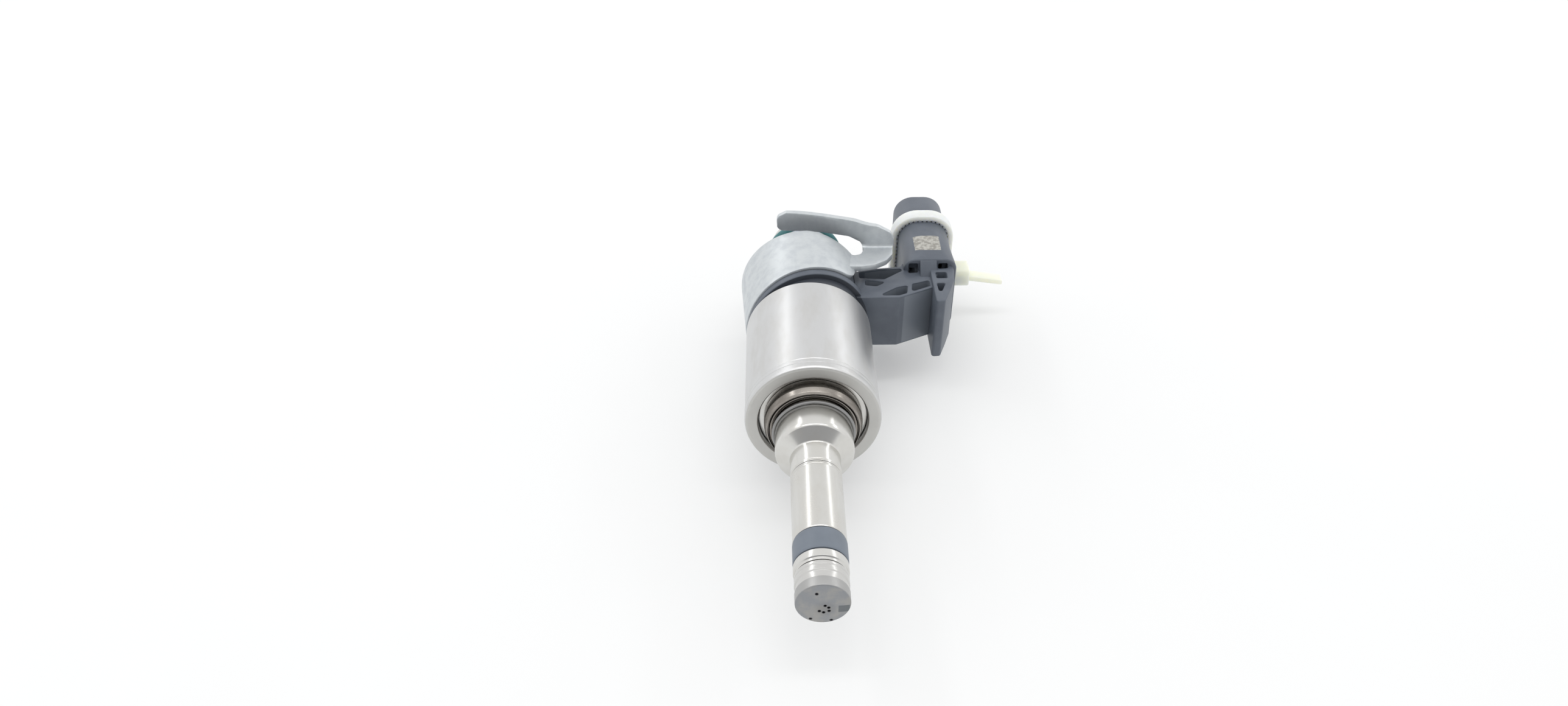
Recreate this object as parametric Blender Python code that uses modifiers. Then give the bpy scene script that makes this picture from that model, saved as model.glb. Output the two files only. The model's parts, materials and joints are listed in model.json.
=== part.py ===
"""A high-pressure direct-injection fuel injector, as an assembly of separate pieces, in metres.

The injector lies along +Y. The end face of the nozzle tip is at the origin and looks along -Y, the
fuel inlet is at the +Y end, the connector stands off towards +X, and +Z is up. Places along the
injector's axis are named "..._Y" and are measured from the end face of the tip.
"""

import math

import bmesh
import bpy
from mathutils import Matrix, Vector

MM = 0.001

# ---------------------------------------------------------------- shared fits
FACETS = 32
FIT_GAP = 0.10 * MM  # between pieces that touch on the real injector
BALL_GAP = 0.04 * MM  # between the closed ball and its seat
NEEDLE_LIFT = 0.08 * MM
STOP_GAP = 0.04 * MM  # left between the armature and the pole core at full lift
CHAMFER = 0.20 * MM

# ---------------------------------------------------------------- nozzle
TIP_RADIUS = 3.75 * MM
SEAT_LENGTH = 4.75 * MM
SPIGOT_RADIUS = 3.00 * MM
SPIGOT_LENGTH = 1.80 * MM
TIP_GROOVE_DEPTH = 0.13 * MM
TIP_GROOVE_LOW_Y = 2.05 * MM
TIP_GROOVE_HIGH_Y = 3.10 * MM
BALL_RADIUS = 1.50 * MM
BALL_Y = 2.45 * MM
SAC_RADIUS = 0.75 * MM
SAC_FLOOR_Y = 0.50 * MM
SEAT_BORE_RADIUS = 2.00 * MM
SPRAY_HOLES = 5
SPRAY_HOLE_RADIUS = 0.12 * MM
SPRAY_HOLE_SIDES = 6
SPRAY_OVERRUN = 0.3  # how far each drill runs past the wall at both ends, as a share of the wall
SPRAY_RING_RADIUS = 0.72 * MM
SPRAY_CENTRE_X = 0.25 * MM
SPRAY_CENTRE_Z = -0.70 * MM
SPRAY_LEAN = 0.45  # how far each hole leans in towards the axis, as a share of its distance

SHANK_RADIUS = 3.84 * MM
SHANK_BORE_RADIUS = 2.60 * MM
SHANK_SPLIT_Y = 23.90 * MM
SEAL_GROOVE_Y = 6.70 * MM
SEAL_WIDTH = 3.82 * MM
SEAL_RADIUS = 3.87 * MM
SEAL_THICKNESS = 0.55 * MM

# ---------------------------------------------------------------- valve body
CONE_LOW_Y = 28.20 * MM
CONE_HIGH_Y = 29.40 * MM
BODY_RADIUS = 6.10 * MM
BODY_TOP_Y = 41.00 * MM
GUIDE_POCKET_Y = 28.55 * MM
GUIDE_POCKET_RADIUS = 3.60 * MM
GUIDE_THICKNESS = 1.70 * MM
GUIDE_HOLES = 4
GUIDE_HOLE_RADIUS = 0.50 * MM
GUIDE_HOLE_CIRCLE = 2.20 * MM
ARMATURE_BORE_Y = 30.60 * MM
ARMATURE_BORE_RADIUS = 4.65 * MM
SNAP_GROOVE_Y = 34.20 * MM
SNAP_GROOVE_DEPTH = 0.20 * MM
SNAP_WIRE_RADIUS = 0.30 * MM
SNAP_OPENING = 24.0  # degrees

# ---------------------------------------------------------------- moving valve
NEEDLE_RADIUS = 1.00 * MM
NEEDLE_TOP_Y = 43.30 * MM
ARMATURE_RADIUS = 4.50 * MM
ARMATURE_LENGTH = 5.60 * MM
ARMATURE_HOLES = 4
ARMATURE_HOLE_RADIUS = 0.55 * MM
ARMATURE_HOLE_CIRCLE = 2.90 * MM
LOWER_STOP_RADIUS = 2.40 * MM
LOWER_STOP_LENGTH = 1.20 * MM
UPPER_STOP_RADIUS = 1.80 * MM
UPPER_STOP_LENGTH = 1.35 * MM

# ---------------------------------------------------------------- core, spring and inlet
CORE_FACE_Y = 42.20 * MM
CORE_STEP_Y = 45.10 * MM
CORE_COLLAR_TOP_Y = 56.50 * MM
CORE_TOP_Y = 59.00 * MM
CORE_BORE_RADIUS = 2.10 * MM
SPRING_WIRE_RADIUS = 0.25 * MM
SPRING_TURNS = 6
SPRING_POINTS_PER_TURN = 10
SLEEVE_BOTTOM_Y = 53.00 * MM
SLEEVE_LENGTH = 5.50 * MM
SLEEVE_BORE_RADIUS = 1.20 * MM
TUBE_RADIUS = 5.30 * MM
TUBE_BORE_RADIUS = 2.60 * MM
INLET_Y = 89.50 * MM
INLET_MOUTH_RADIUS = 3.60 * MM
INLET_MOUTH_DEPTH = 7.50 * MM
INLET_HEAD_RADIUS = 6.30 * MM
INLET_HEAD_LENGTH = 2.45 * MM
RING_SEAT_LENGTH = 3.35 * MM
SHOULDER_RADIUS = 6.40 * MM
SHOULDER_LENGTH = 3.15 * MM
O_RING_RADIUS = 0.88 * MM
O_RING_SIDES = 10
BACKUP_RING_WIDTH = 1.10 * MM
BACKUP_RING_RADIUS = 6.45 * MM
FILTER_LENGTH = 16.0 * MM
FILTER_WALL = 0.40 * MM
FILTER_FLANGE = 0.80 * MM

# ---------------------------------------------------------------- magnet group
HOUSING_RADIUS = 10.74 * MM
HOUSING_RIM_Y = 37.00 * MM
HOUSING_TOP_Y = 60.60 * MM
HOUSING_WALL = 1.00 * MM
LIP_RADIUS = 10.80 * MM
LIP_HIGH_Y = 39.40 * MM
RIM_INNER_RADIUS = 8.63 * MM
RIM_DEPTH = 1.80 * MM
HOUSING_WEB = 2.00 * MM
DECOUPLING_TIP_Y = 34.90 * MM
DECOUPLING_RADIUS = 7.75 * MM
DECOUPLING_TIP_RADIUS = 7.00 * MM
WASHER_THICKNESS = 0.70 * MM
WASHER_RADIUS = 8.50 * MM
BOBBIN_TOP_Y = 54.00 * MM
BOBBIN_FLANGE = 1.00 * MM
BOBBIN_WALL = 0.60 * MM
WINDING_DEPTH = 2.30 * MM
COVER_THICKNESS = 2.20 * MM

# ---------------------------------------------------------------- plastic moulding
COLLAR_RADIUS = 9.70 * MM
COLLAR_FOOT_RADIUS = 10.25 * MM
COLLAR_TOP_Y = 77.60 * MM
COLLAR_NECK_RADIUS = 8.60 * MM
COLLAR_SHOULDER_Y = 76.20 * MM
FLANGE_RADIUS = 10.65 * MM
FLANGE_THICKNESS = 1.45 * MM
ARM_HALF_HEIGHT = 5.15 * MM
ARM_FRONT_Y = 63.90 * MM
ARM_REAR_Y = 73.60 * MM
KEEL_HALF_HEIGHT = 6.00 * MM
KEEL_X = 21.95 * MM
KEEL_FRONT_Y = 61.40 * MM
POCKET_DEPTH = 2.30 * MM
CONNECTOR_X = 22.00 * MM
CONNECTOR_WIDTH = 9.20 * MM
CONNECTOR_HEIGHT = 16.10 * MM
CONNECTOR_CORNER = 3.60 * MM
CONNECTOR_FRONT_Y = 72.40 * MM
CONNECTOR_FRONT_WIDTH = 9.50 * MM
CONNECTOR_FRONT_HEIGHT = 14.90 * MM
CONNECTOR_FRONT_CORNER = 2.20 * MM
CONNECTOR_BLEND_Y = 79.00 * MM  # from here to its mouth the connector keeps one section
RAMP_LOW_X = 20.20 * MM
RAMP_HIGH_X = 23.20 * MM
RAMP_LENGTH = 2.20 * MM
CONNECTOR_MOUTH_Y = 94.40 * MM
SOCKET_WALL = 1.30 * MM
SOCKET_DEPTH = 14.0 * MM
TERMINAL_WIDTH = 0.80 * MM
TERMINAL_HALF_THICKNESS = 0.60 * MM
TERMINAL_Z = 2.00 * MM
TERMINAL_ROOT_X = 8.00 * MM
TERMINAL_BEND_Y = 66.80 * MM
PIN_SETBACK = 6.90 * MM  # from the connector's mouth to the ends of the pins

# ---------------------------------------------------------------- spring clip
CLIP_THICKNESS = 1.00 * MM
CLIP_GAP = 0.15 * MM
CLIP_LOW_Y = 64.60 * MM
CLIP_HIGH_Y = 75.60 * MM
CLIP_FLARE = 0.07  # growth of its radius for each length along the axis
CLIP_SLANT = 0.24  # fall of its lower edge towards the closed side
CLIP_SLANT_CURVE = -7.0  # per metre
CLIP_OPENING = 42.5  # degrees from +X to each end of the band
NECK_LOW_Y = 68.60 * MM
NECK_HIGH_Y = 72.30 * MM
TAB_TOP_Z = 8.60 * MM
TAB_END_X = 15.40 * MM
FOLD_Y = 75.40 * MM
ARM_TIP_X = -5.40 * MM
LEAF_BEND_END_X = 11.0 * MM  # the leaf is flat beyond this
LEAF_BENDS = 8
ARM_RISE = 4.90 * MM
LEAF_OUTER_Z = 13.00 * MM
LEAF_INNER_Z = 9.20 * MM

# ---------------------------------------------------------------- cable tie
TIE_Y = 84.40 * MM
TIE_WIDTH = 2.60 * MM
TIE_THICKNESS = 1.10 * MM
TIE_HEAD_WIDTH = 4.40 * MM
TIE_HEAD_HEIGHT = 3.60 * MM
TIE_HEAD_LENGTH = 4.40 * MM
TIE_HEAD_Z = -4.10 * MM
TIE_TAIL_LENGTH = 7.40 * MM
TIE_TAIL_DROP = 1.00 * MM


# ================================================================ helpers
def clear_scene():
    for obj in list(bpy.data.objects):
        bpy.data.objects.remove(obj, do_unlink=True)


def collection_named(name):
    group = bpy.data.collections.new(name)
    bpy.context.scene.collection.children.link(group)
    return group


def finish(name, colour, roughness, metallic=0.0):
    material = bpy.data.materials.new(name)
    material.use_nodes = True
    shader = material.node_tree.nodes["Principled BSDF"]
    shader.inputs["Base Color"].default_value = (*colour, 1.0)
    shader.inputs["Roughness"].default_value = roughness
    shader.inputs["Metallic"].default_value = metallic
    return material


def add_part(name, data, material):
    obj = bpy.data.objects.new(name, data)
    data.materials.append(material)
    PARTS.objects.link(obj)
    return obj


def add_cutter(obj):
    CUTTERS.objects.link(obj)
    obj.hide_render = True
    obj.display_type = "WIRE"
    return obj


def shade_round(mesh):
    mesh.shade_smooth()
    mesh.set_sharp_from_angle(angle=math.radians(35))


def turned_mesh(name, profile, ring):
    """A profile of (radius, y) points; it runs down the outside and, on a ring, back up the bore."""
    mesh = bpy.data.meshes.new(name)
    points = [(radius, 0.0, along) for radius, along in profile]
    edges = [(i, i + 1) for i in range(len(points) - 1)]
    if ring:
        edges.append((len(points) - 1, 0))
    mesh.from_pydata(points, edges, [])
    return mesh


def spin(obj, steps=FACETS):
    """Turns an object's profile about the injector's axis."""
    obj.rotation_euler = (-math.pi / 2, 0.0, 0.0)
    screw = obj.modifiers.new("turn", "SCREW")
    screw.axis = "Z"
    screw.steps = steps
    screw.render_steps = steps
    screw.use_merge_vertices = True
    screw.merge_threshold = 0.00001
    screw.use_smooth_shade = True
    return obj


def turned(name, profile, material, ring=True):
    return spin(add_part(name, turned_mesh(name, profile, ring), material))


def tube_profile(inner, outer, low, high, chamfer=CHAMFER):
    """A plain sleeve with its two outer edges broken."""
    return [
        (inner, high),
        (outer - chamfer, high),
        (outer, high - chamfer),
        (outer, low + chamfer),
        (outer - chamfer, low),
        (inner, low),
    ]


def baked(obj):
    """A mesh copy of an object as it looks, with its place in its points and its seams closed."""
    graph = bpy.context.evaluated_depsgraph_get()
    mesh = bpy.data.meshes.new_from_object(obj.evaluated_get(graph))
    mesh.transform(obj.matrix_world)
    work = bmesh.new()
    work.from_mesh(mesh)
    bmesh.ops.remove_doubles(work, verts=work.verts, dist=0.001 * MM)
    bmesh.ops.recalc_face_normals(work, faces=work.faces)
    work.to_mesh(mesh)
    work.free()
    return mesh


def plate_mesh(name, outlines, low, high, along_y=False):
    """Flat outlines given a thickness: (x, y) outlines along Z, or (x, z) outlines along Y."""
    curve = bpy.data.curves.new(name, "CURVE")
    curve.dimensions = "2D"
    curve.fill_mode = "BOTH"
    curve.extrude = (high - low) / 2
    for outline in outlines:
        spline = curve.splines.new("POLY")
        spline.points.add(len(outline) - 1)
        for point, (across, up) in zip(spline.points, outline):
            point.co = (across, up, 0.0, 1.0)
        spline.use_cyclic_u = True
    flat = bpy.data.objects.new(name, curve)
    bpy.context.scene.collection.objects.link(flat)
    middle = (low + high) / 2
    if along_y:
        flat.matrix_world = Matrix.Translation((0.0, middle, 0.0)) @ Matrix.Rotation(math.pi / 2, 4, "X")
    else:
        flat.matrix_world = Matrix.Translation((0.0, 0.0, middle))
    bpy.context.view_layer.update()
    mesh = baked(flat)
    bpy.data.objects.remove(flat, do_unlink=True)
    bpy.data.curves.remove(curve)
    return mesh


def mesh_cutter(name, mesh):
    return add_cutter(bpy.data.objects.new(name, mesh))


def plate_cutter(name, outlines, low, high, along_y=False):
    return mesh_cutter(name, plate_mesh(name, outlines, low, high, along_y))


def rod_cutter(name, start, end, radius, sides=8):
    """A round bar between two points, for a drilled hole."""
    start, end = Vector(start), Vector(end)
    along = end - start
    place = Matrix.Translation((start + end) / 2) @ along.to_track_quat("Z", "Y").to_matrix().to_4x4()
    work = bmesh.new()
    bmesh.ops.create_cone(
        work, cap_ends=True, segments=sides, radius1=radius, radius2=radius, depth=along.length, matrix=place
    )
    mesh = bpy.data.meshes.new(name)
    work.to_mesh(mesh)
    work.free()
    return mesh_cutter(name, mesh)


def boolean(obj, other, operation):
    modifier = obj.modifiers.new(other.name, "BOOLEAN")
    modifier.operation = operation
    modifier.solver = "EXACT"
    modifier.object = other


def rounded_rectangle(centre_x, centre_y, width, height, corner, steps=5):
    """The outline of a rectangle with round corners, anticlockwise."""
    outline = []
    for quarter, (side_x, side_y) in enumerate([(1, 1), (-1, 1), (-1, -1), (1, -1)]):
        turn_x = centre_x + side_x * (width / 2 - corner)
        turn_y = centre_y + side_y * (height / 2 - corner)
        for step in range(steps + 1):
            angle = (quarter + step / steps) * math.pi / 2
            outline.append((turn_x + corner * math.cos(angle), turn_y + corner * math.sin(angle)))
    return outline


def strip_outline(path, width):
    """The outline of a strip of constant width along a path of straight runs."""
    sides = ([], [])
    for i, point in enumerate(path):
        here = Vector(point)
        before = (here - Vector(path[i - 1])).normalized() if i else None
        after = (Vector(path[i + 1]) - here).normalized() if i < len(path) - 1 else None
        before, after = before or after, after or before
        normal = Vector((-before.y - after.y, before.x + after.x)).normalized()
        reach = width / 2 / normal.dot(Vector((-before.y, before.x)))
        sides[0].append(tuple(here - normal * reach))
        sides[1].append(tuple(here + normal * reach))
    return sides[0] + sides[1][::-1]


def holes_on_circle(name, obj, count, circle, radius, low, high, turn=0.0):
    """Drills equal holes along Y through a turned piece."""
    for i in range(count):
        angle = turn + math.tau * i / count
        x = circle * math.cos(angle)
        z = circle * math.sin(angle)
        boolean(obj, rod_cutter(f"{name}_{i + 1}", (x, low, z), (x, high, z), radius), "DIFFERENCE")


# ================================================================ nozzle
def make_valve_seat():
    cone_rise = BALL_Y - BALL_RADIUS * math.sqrt(2) - BALL_GAP * math.sqrt(2)
    spigot_top = SEAT_LENGTH + FIT_GAP + SPIGOT_LENGTH
    groove_radius = TIP_RADIUS - TIP_GROOVE_DEPTH
    seat = turned(
        "valve_seat",
        [
            (SPIGOT_RADIUS, spigot_top),
            (SPIGOT_RADIUS, SEAT_LENGTH),
            (TIP_RADIUS, SEAT_LENGTH),
            (TIP_RADIUS, TIP_GROOVE_HIGH_Y),
            (groove_radius, TIP_GROOVE_HIGH_Y - TIP_GROOVE_DEPTH),
            (groove_radius, TIP_GROOVE_LOW_Y + TIP_GROOVE_DEPTH),
            (TIP_RADIUS, TIP_GROOVE_LOW_Y),
            (TIP_RADIUS, CHAMFER),
            (TIP_RADIUS - CHAMFER, 0.0),
            (0.0, 0.0),
            (0.0, SAC_FLOOR_Y),
            (SAC_RADIUS, SAC_FLOOR_Y),
            (SAC_RADIUS, SAC_RADIUS + cone_rise),
            (SEAT_BORE_RADIUS, SEAT_BORE_RADIUS + cone_rise),
            (SEAT_BORE_RADIUS, spigot_top),
        ],
        STEEL,
    )
    for i in range(SPRAY_HOLES):
        angle = math.pi / 2 + math.tau * i / SPRAY_HOLES
        x = SPRAY_CENTRE_X + SPRAY_RING_RADIUS * math.cos(angle)
        z = SPRAY_CENTRE_Z + SPRAY_RING_RADIUS * math.sin(angle)
        slope = Vector((-x * SPRAY_LEAN, SAC_FLOOR_Y, -z * SPRAY_LEAN))
        outside = Vector((x, 0.0, z)) - SPRAY_OVERRUN * slope
        inside = Vector((x, 0.0, z)) + (1 + SPRAY_OVERRUN) * slope
        drill = rod_cutter(f"spray_hole_{i + 1}", outside, inside, SPRAY_HOLE_RADIUS, SPRAY_HOLE_SIDES)
        boolean(seat, drill, "DIFFERENCE")


def make_valve_ball():
    work = bmesh.new()
    bmesh.ops.create_uvsphere(work, u_segments=16, v_segments=8, radius=BALL_RADIUS)
    mesh = bpy.data.meshes.new("valve_ball")
    work.to_mesh(mesh)
    work.free()
    shade_round(mesh)
    ball = add_part("valve_ball", mesh, STEEL)
    ball.rotation_euler = (-math.pi / 2, 0.0, 0.0)
    ball.location = (0.0, BALL_Y, 0.0)


def make_nozzle_tube():
    low = SEAT_LENGTH + FIT_GAP
    spigot_end = low + SPIGOT_LENGTH + FIT_GAP
    groove_radius = SEAL_RADIUS - SEAL_THICKNESS - FIT_GAP
    groove_top = SEAL_GROOVE_Y + SEAL_WIDTH + 2 * FIT_GAP
    turned(
        "nozzle_tube",
        [
            (SHANK_BORE_RADIUS, SHANK_SPLIT_Y),
            (SHANK_RADIUS - CHAMFER, SHANK_SPLIT_Y),
            (SHANK_RADIUS, SHANK_SPLIT_Y - CHAMFER),
            (SHANK_RADIUS, groove_top),
            (groove_radius, groove_top),
            (groove_radius, SEAL_GROOVE_Y),
            (SHANK_RADIUS, SEAL_GROOVE_Y),
            (SHANK_RADIUS, low + CHAMFER),
            (SHANK_RADIUS - CHAMFER, low),
            (SPIGOT_RADIUS + FIT_GAP, low),
            (SPIGOT_RADIUS + FIT_GAP, spigot_end - FIT_GAP),
            (SHANK_BORE_RADIUS, spigot_end),
        ],
        STEEL,
    )


def make_chamber_seal():
    low = SEAL_GROOVE_Y + FIT_GAP
    turned(
        "chamber_seal",
        tube_profile(SEAL_RADIUS - SEAL_THICKNESS, SEAL_RADIUS, low, low + SEAL_WIDTH, CHAMFER / 2),
        PTFE,
    )


# ================================================================ valve body
def make_valve_body():
    low = SHANK_SPLIT_Y + FIT_GAP
    groove_radius = BODY_RADIUS - SNAP_GROOVE_DEPTH
    groove_half = SNAP_WIRE_RADIUS + FIT_GAP / 2
    turned(
        "valve_body",
        [
            (ARMATURE_BORE_RADIUS, BODY_TOP_Y),
            (BODY_RADIUS, BODY_TOP_Y),
            (BODY_RADIUS, SNAP_GROOVE_Y + groove_half),
            (groove_radius, SNAP_GROOVE_Y + groove_half),
            (groove_radius, SNAP_GROOVE_Y - groove_half),
            (BODY_RADIUS, SNAP_GROOVE_Y - groove_half),
            (BODY_RADIUS, CONE_HIGH_Y),
            (SHANK_RADIUS, CONE_LOW_Y),
            (SHANK_RADIUS, low + CHAMFER),
            (SHANK_RADIUS - CHAMFER, low),
            (SHANK_BORE_RADIUS, low),
            (SHANK_BORE_RADIUS, GUIDE_POCKET_Y),
            (GUIDE_POCKET_RADIUS, GUIDE_POCKET_Y),
            (GUIDE_POCKET_RADIUS, ARMATURE_BORE_Y),
            (ARMATURE_BORE_RADIUS, ARMATURE_BORE_Y),
        ],
        STEEL,
    )


def make_needle_guide():
    low = GUIDE_POCKET_Y + FIT_GAP
    high = low + GUIDE_THICKNESS
    guide = turned(
        "needle_guide",
        tube_profile(NEEDLE_RADIUS + FIT_GAP, GUIDE_POCKET_RADIUS - FIT_GAP, low, high),
        STEEL,
    )
    holes_on_circle(
        "guide_hole", guide, GUIDE_HOLES, GUIDE_HOLE_CIRCLE, GUIDE_HOLE_RADIUS, low - MM, high + MM
    )


def make_snap_ring():
    """A round wire bent to an open ring."""
    points = 32
    radius = BODY_RADIUS - SNAP_GROOVE_DEPTH + FIT_GAP / 2 + SNAP_WIRE_RADIUS
    half_gap = math.radians(SNAP_OPENING / 2)
    curve = bpy.data.curves.new("snap_ring", "CURVE")
    curve.dimensions = "3D"
    curve.bevel_depth = SNAP_WIRE_RADIUS
    curve.bevel_resolution = 2
    curve.use_fill_caps = True
    spline = curve.splines.new("POLY")
    spline.points.add(points - 1)
    for i, point in enumerate(spline.points):
        angle = -math.pi / 2 + half_gap + (math.tau - 2 * half_gap) * i / (points - 1)
        point.co = (radius * math.cos(angle), SNAP_GROOVE_Y, radius * math.sin(angle), 1.0)
    add_part("snap_ring", curve, SPRING_STEEL)


# ================================================================ moving valve
def armature_top():
    return CORE_FACE_Y - NEEDLE_LIFT - STOP_GAP


def make_needle():
    turned(
        "needle",
        [
            (0.0, NEEDLE_TOP_Y),
            (NEEDLE_RADIUS - CHAMFER, NEEDLE_TOP_Y),
            (NEEDLE_RADIUS, NEEDLE_TOP_Y - CHAMFER),
            (NEEDLE_RADIUS, BALL_Y + BALL_RADIUS + FIT_GAP),
            (0.0, BALL_Y + BALL_RADIUS + FIT_GAP),
        ],
        STEEL,
        ring=False,
    )


def make_armature():
    high = armature_top()
    low = high - ARMATURE_LENGTH
    armature = turned(
        "armature", tube_profile(NEEDLE_RADIUS + FIT_GAP, ARMATURE_RADIUS, low, high), MAGNET_IRON
    )
    holes_on_circle(
        "armature_hole",
        armature,
        ARMATURE_HOLES,
        ARMATURE_HOLE_CIRCLE,
        ARMATURE_HOLE_RADIUS,
        low - MM,
        high + MM,
        turn=math.pi / 4,
    )


def make_stops():
    inner = NEEDLE_RADIUS + FIT_GAP
    low = armature_top() - ARMATURE_LENGTH - FIT_GAP - LOWER_STOP_LENGTH
    turned("lower_stop_ring", tube_profile(inner, LOWER_STOP_RADIUS, low, low + LOWER_STOP_LENGTH), STEEL)
    low = armature_top() + FIT_GAP
    turned("upper_stop_sleeve", tube_profile(inner, UPPER_STOP_RADIUS, low, low + UPPER_STOP_LENGTH), STEEL)


def make_return_spring():
    """A helix of round wire between the upper stop sleeve and the adjusting sleeve."""
    low = armature_top() + FIT_GAP + UPPER_STOP_LENGTH + FIT_GAP + SPRING_WIRE_RADIUS
    high = SLEEVE_BOTTOM_Y - FIT_GAP - SPRING_WIRE_RADIUS
    radius = UPPER_STOP_RADIUS - SPRING_WIRE_RADIUS
    count = SPRING_TURNS * SPRING_POINTS_PER_TURN
    curve = bpy.data.curves.new("return_spring", "CURVE")
    curve.dimensions = "3D"
    curve.bevel_depth = SPRING_WIRE_RADIUS
    curve.bevel_resolution = 2
    curve.use_fill_caps = True
    spline = curve.splines.new("POLY")
    spline.points.add(count)
    for i, point in enumerate(spline.points):
        angle = math.tau * i / SPRING_POINTS_PER_TURN
        along = low + (high - low) * i / count
        point.co = (radius * math.cos(angle), along, radius * math.sin(angle), 1.0)
    add_part("return_spring", curve, SPRING_STEEL)


# ================================================================ core and inlet
def make_separator_ring():
    turned(
        "separator_ring",
        tube_profile(
            ARMATURE_BORE_RADIUS + FIT_GAP, BODY_RADIUS, BODY_TOP_Y + FIT_GAP, CORE_STEP_Y - FIT_GAP
        ),
        STEEL,
    )


def make_pole_core():
    turned(
        "pole_core",
        [
            (CORE_BORE_RADIUS, CORE_TOP_Y),
            (TUBE_RADIUS, CORE_TOP_Y),
            (TUBE_RADIUS, CORE_COLLAR_TOP_Y),
            (BODY_RADIUS, CORE_COLLAR_TOP_Y),
            (BODY_RADIUS, CORE_STEP_Y),
            (ARMATURE_BORE_RADIUS, CORE_STEP_Y),
            (ARMATURE_BORE_RADIUS, CORE_FACE_Y),
            (CORE_BORE_RADIUS, CORE_FACE_Y),
        ],
        MAGNET_IRON,
    )


def make_adjusting_sleeve():
    turned(
        "adjusting_sleeve",
        tube_profile(
            SLEEVE_BORE_RADIUS, CORE_BORE_RADIUS - FIT_GAP, SLEEVE_BOTTOM_Y, SLEEVE_BOTTOM_Y + SLEEVE_LENGTH
        ),
        STEEL,
    )


def ring_seat_top():
    return INLET_Y - INLET_HEAD_LENGTH


def make_inlet_tube():
    seat_low = ring_seat_top() - RING_SEAT_LENGTH
    turned(
        "inlet_tube",
        [
            (INLET_MOUTH_RADIUS + CHAMFER, INLET_Y),
            (INLET_HEAD_RADIUS - 3 * CHAMFER, INLET_Y),
            (INLET_HEAD_RADIUS, INLET_Y - 3 * CHAMFER),
            (INLET_HEAD_RADIUS, ring_seat_top()),
            (TUBE_RADIUS, ring_seat_top()),
            (TUBE_RADIUS, seat_low),
            (SHOULDER_RADIUS, seat_low),
            (SHOULDER_RADIUS, seat_low - SHOULDER_LENGTH),
            (TUBE_RADIUS, seat_low - SHOULDER_LENGTH - CHAMFER),
            (TUBE_RADIUS, CORE_TOP_Y + FIT_GAP),
            (TUBE_BORE_RADIUS, CORE_TOP_Y + FIT_GAP),
            (TUBE_BORE_RADIUS, INLET_Y - INLET_MOUTH_DEPTH),
            (INLET_MOUTH_RADIUS, INLET_Y - INLET_MOUTH_DEPTH),
            (INLET_MOUTH_RADIUS, INLET_Y - CHAMFER),
        ],
        STEEL,
    )


def make_inlet_rings():
    low = ring_seat_top() - RING_SEAT_LENGTH + FIT_GAP
    inner = TUBE_RADIUS + FIT_GAP
    turned(
        "backup_ring",
        tube_profile(inner, BACKUP_RING_RADIUS, low, low + BACKUP_RING_WIDTH, CHAMFER / 2),
        IVORY_NYLON,
    )
    centre_y = low + BACKUP_RING_WIDTH + FIT_GAP + O_RING_RADIUS
    centre_radius = inner + O_RING_RADIUS
    profile = []
    for i in range(O_RING_SIDES):
        angle = math.pi / 2 - math.tau * i / O_RING_SIDES
        profile.append(
            (centre_radius + O_RING_RADIUS * math.cos(angle), centre_y + O_RING_RADIUS * math.sin(angle))
        )
    turned("inlet_o_ring", profile, TEAL_RUBBER)


def make_inlet_filter():
    seat = INLET_Y - INLET_MOUTH_DEPTH + FIT_GAP
    top = seat + FILTER_FLANGE
    outer = TUBE_BORE_RADIUS - 2 * FIT_GAP
    turned(
        "inlet_filter",
        [
            (outer - FILTER_WALL, top),
            (INLET_MOUTH_RADIUS - FIT_GAP, top),
            (INLET_MOUTH_RADIUS - FIT_GAP, seat),
            (outer, seat),
            (outer, seat - FILTER_LENGTH),
            (0.0, seat - FILTER_LENGTH),
            (0.0, seat - FILTER_LENGTH + FILTER_WALL),
            (outer - FILTER_WALL, seat - FILTER_LENGTH + FILTER_WALL),
        ],
        FILTER_MESH,
    )


# ================================================================ magnet group
def housing_bore():
    return HOUSING_RADIUS - HOUSING_WALL


def web_low():
    return HOUSING_RIM_Y + RIM_DEPTH


def bobbin_low():
    return web_low() + HOUSING_WEB + FIT_GAP


def make_magnet_housing():
    turned(
        "magnet_housing",
        [
            (housing_bore(), HOUSING_TOP_Y),
            (HOUSING_RADIUS - CHAMFER, HOUSING_TOP_Y),
            (HOUSING_RADIUS, HOUSING_TOP_Y - CHAMFER),
            (HOUSING_RADIUS, LIP_HIGH_Y),
            (HOUSING_RADIUS - CHAMFER, LIP_HIGH_Y - CHAMFER),
            (LIP_RADIUS, LIP_HIGH_Y - 2 * CHAMFER),
            (LIP_RADIUS, HOUSING_RIM_Y + 2 * CHAMFER),
            (LIP_RADIUS - 2 * CHAMFER, HOUSING_RIM_Y),
            (RIM_INNER_RADIUS, HOUSING_RIM_Y),
            (RIM_INNER_RADIUS, web_low()),
            (BODY_RADIUS + FIT_GAP, web_low()),
            (BODY_RADIUS + FIT_GAP, web_low() + HOUSING_WEB),
            (housing_bore(), web_low() + HOUSING_WEB),
        ],
        STEEL,
    )


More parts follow.
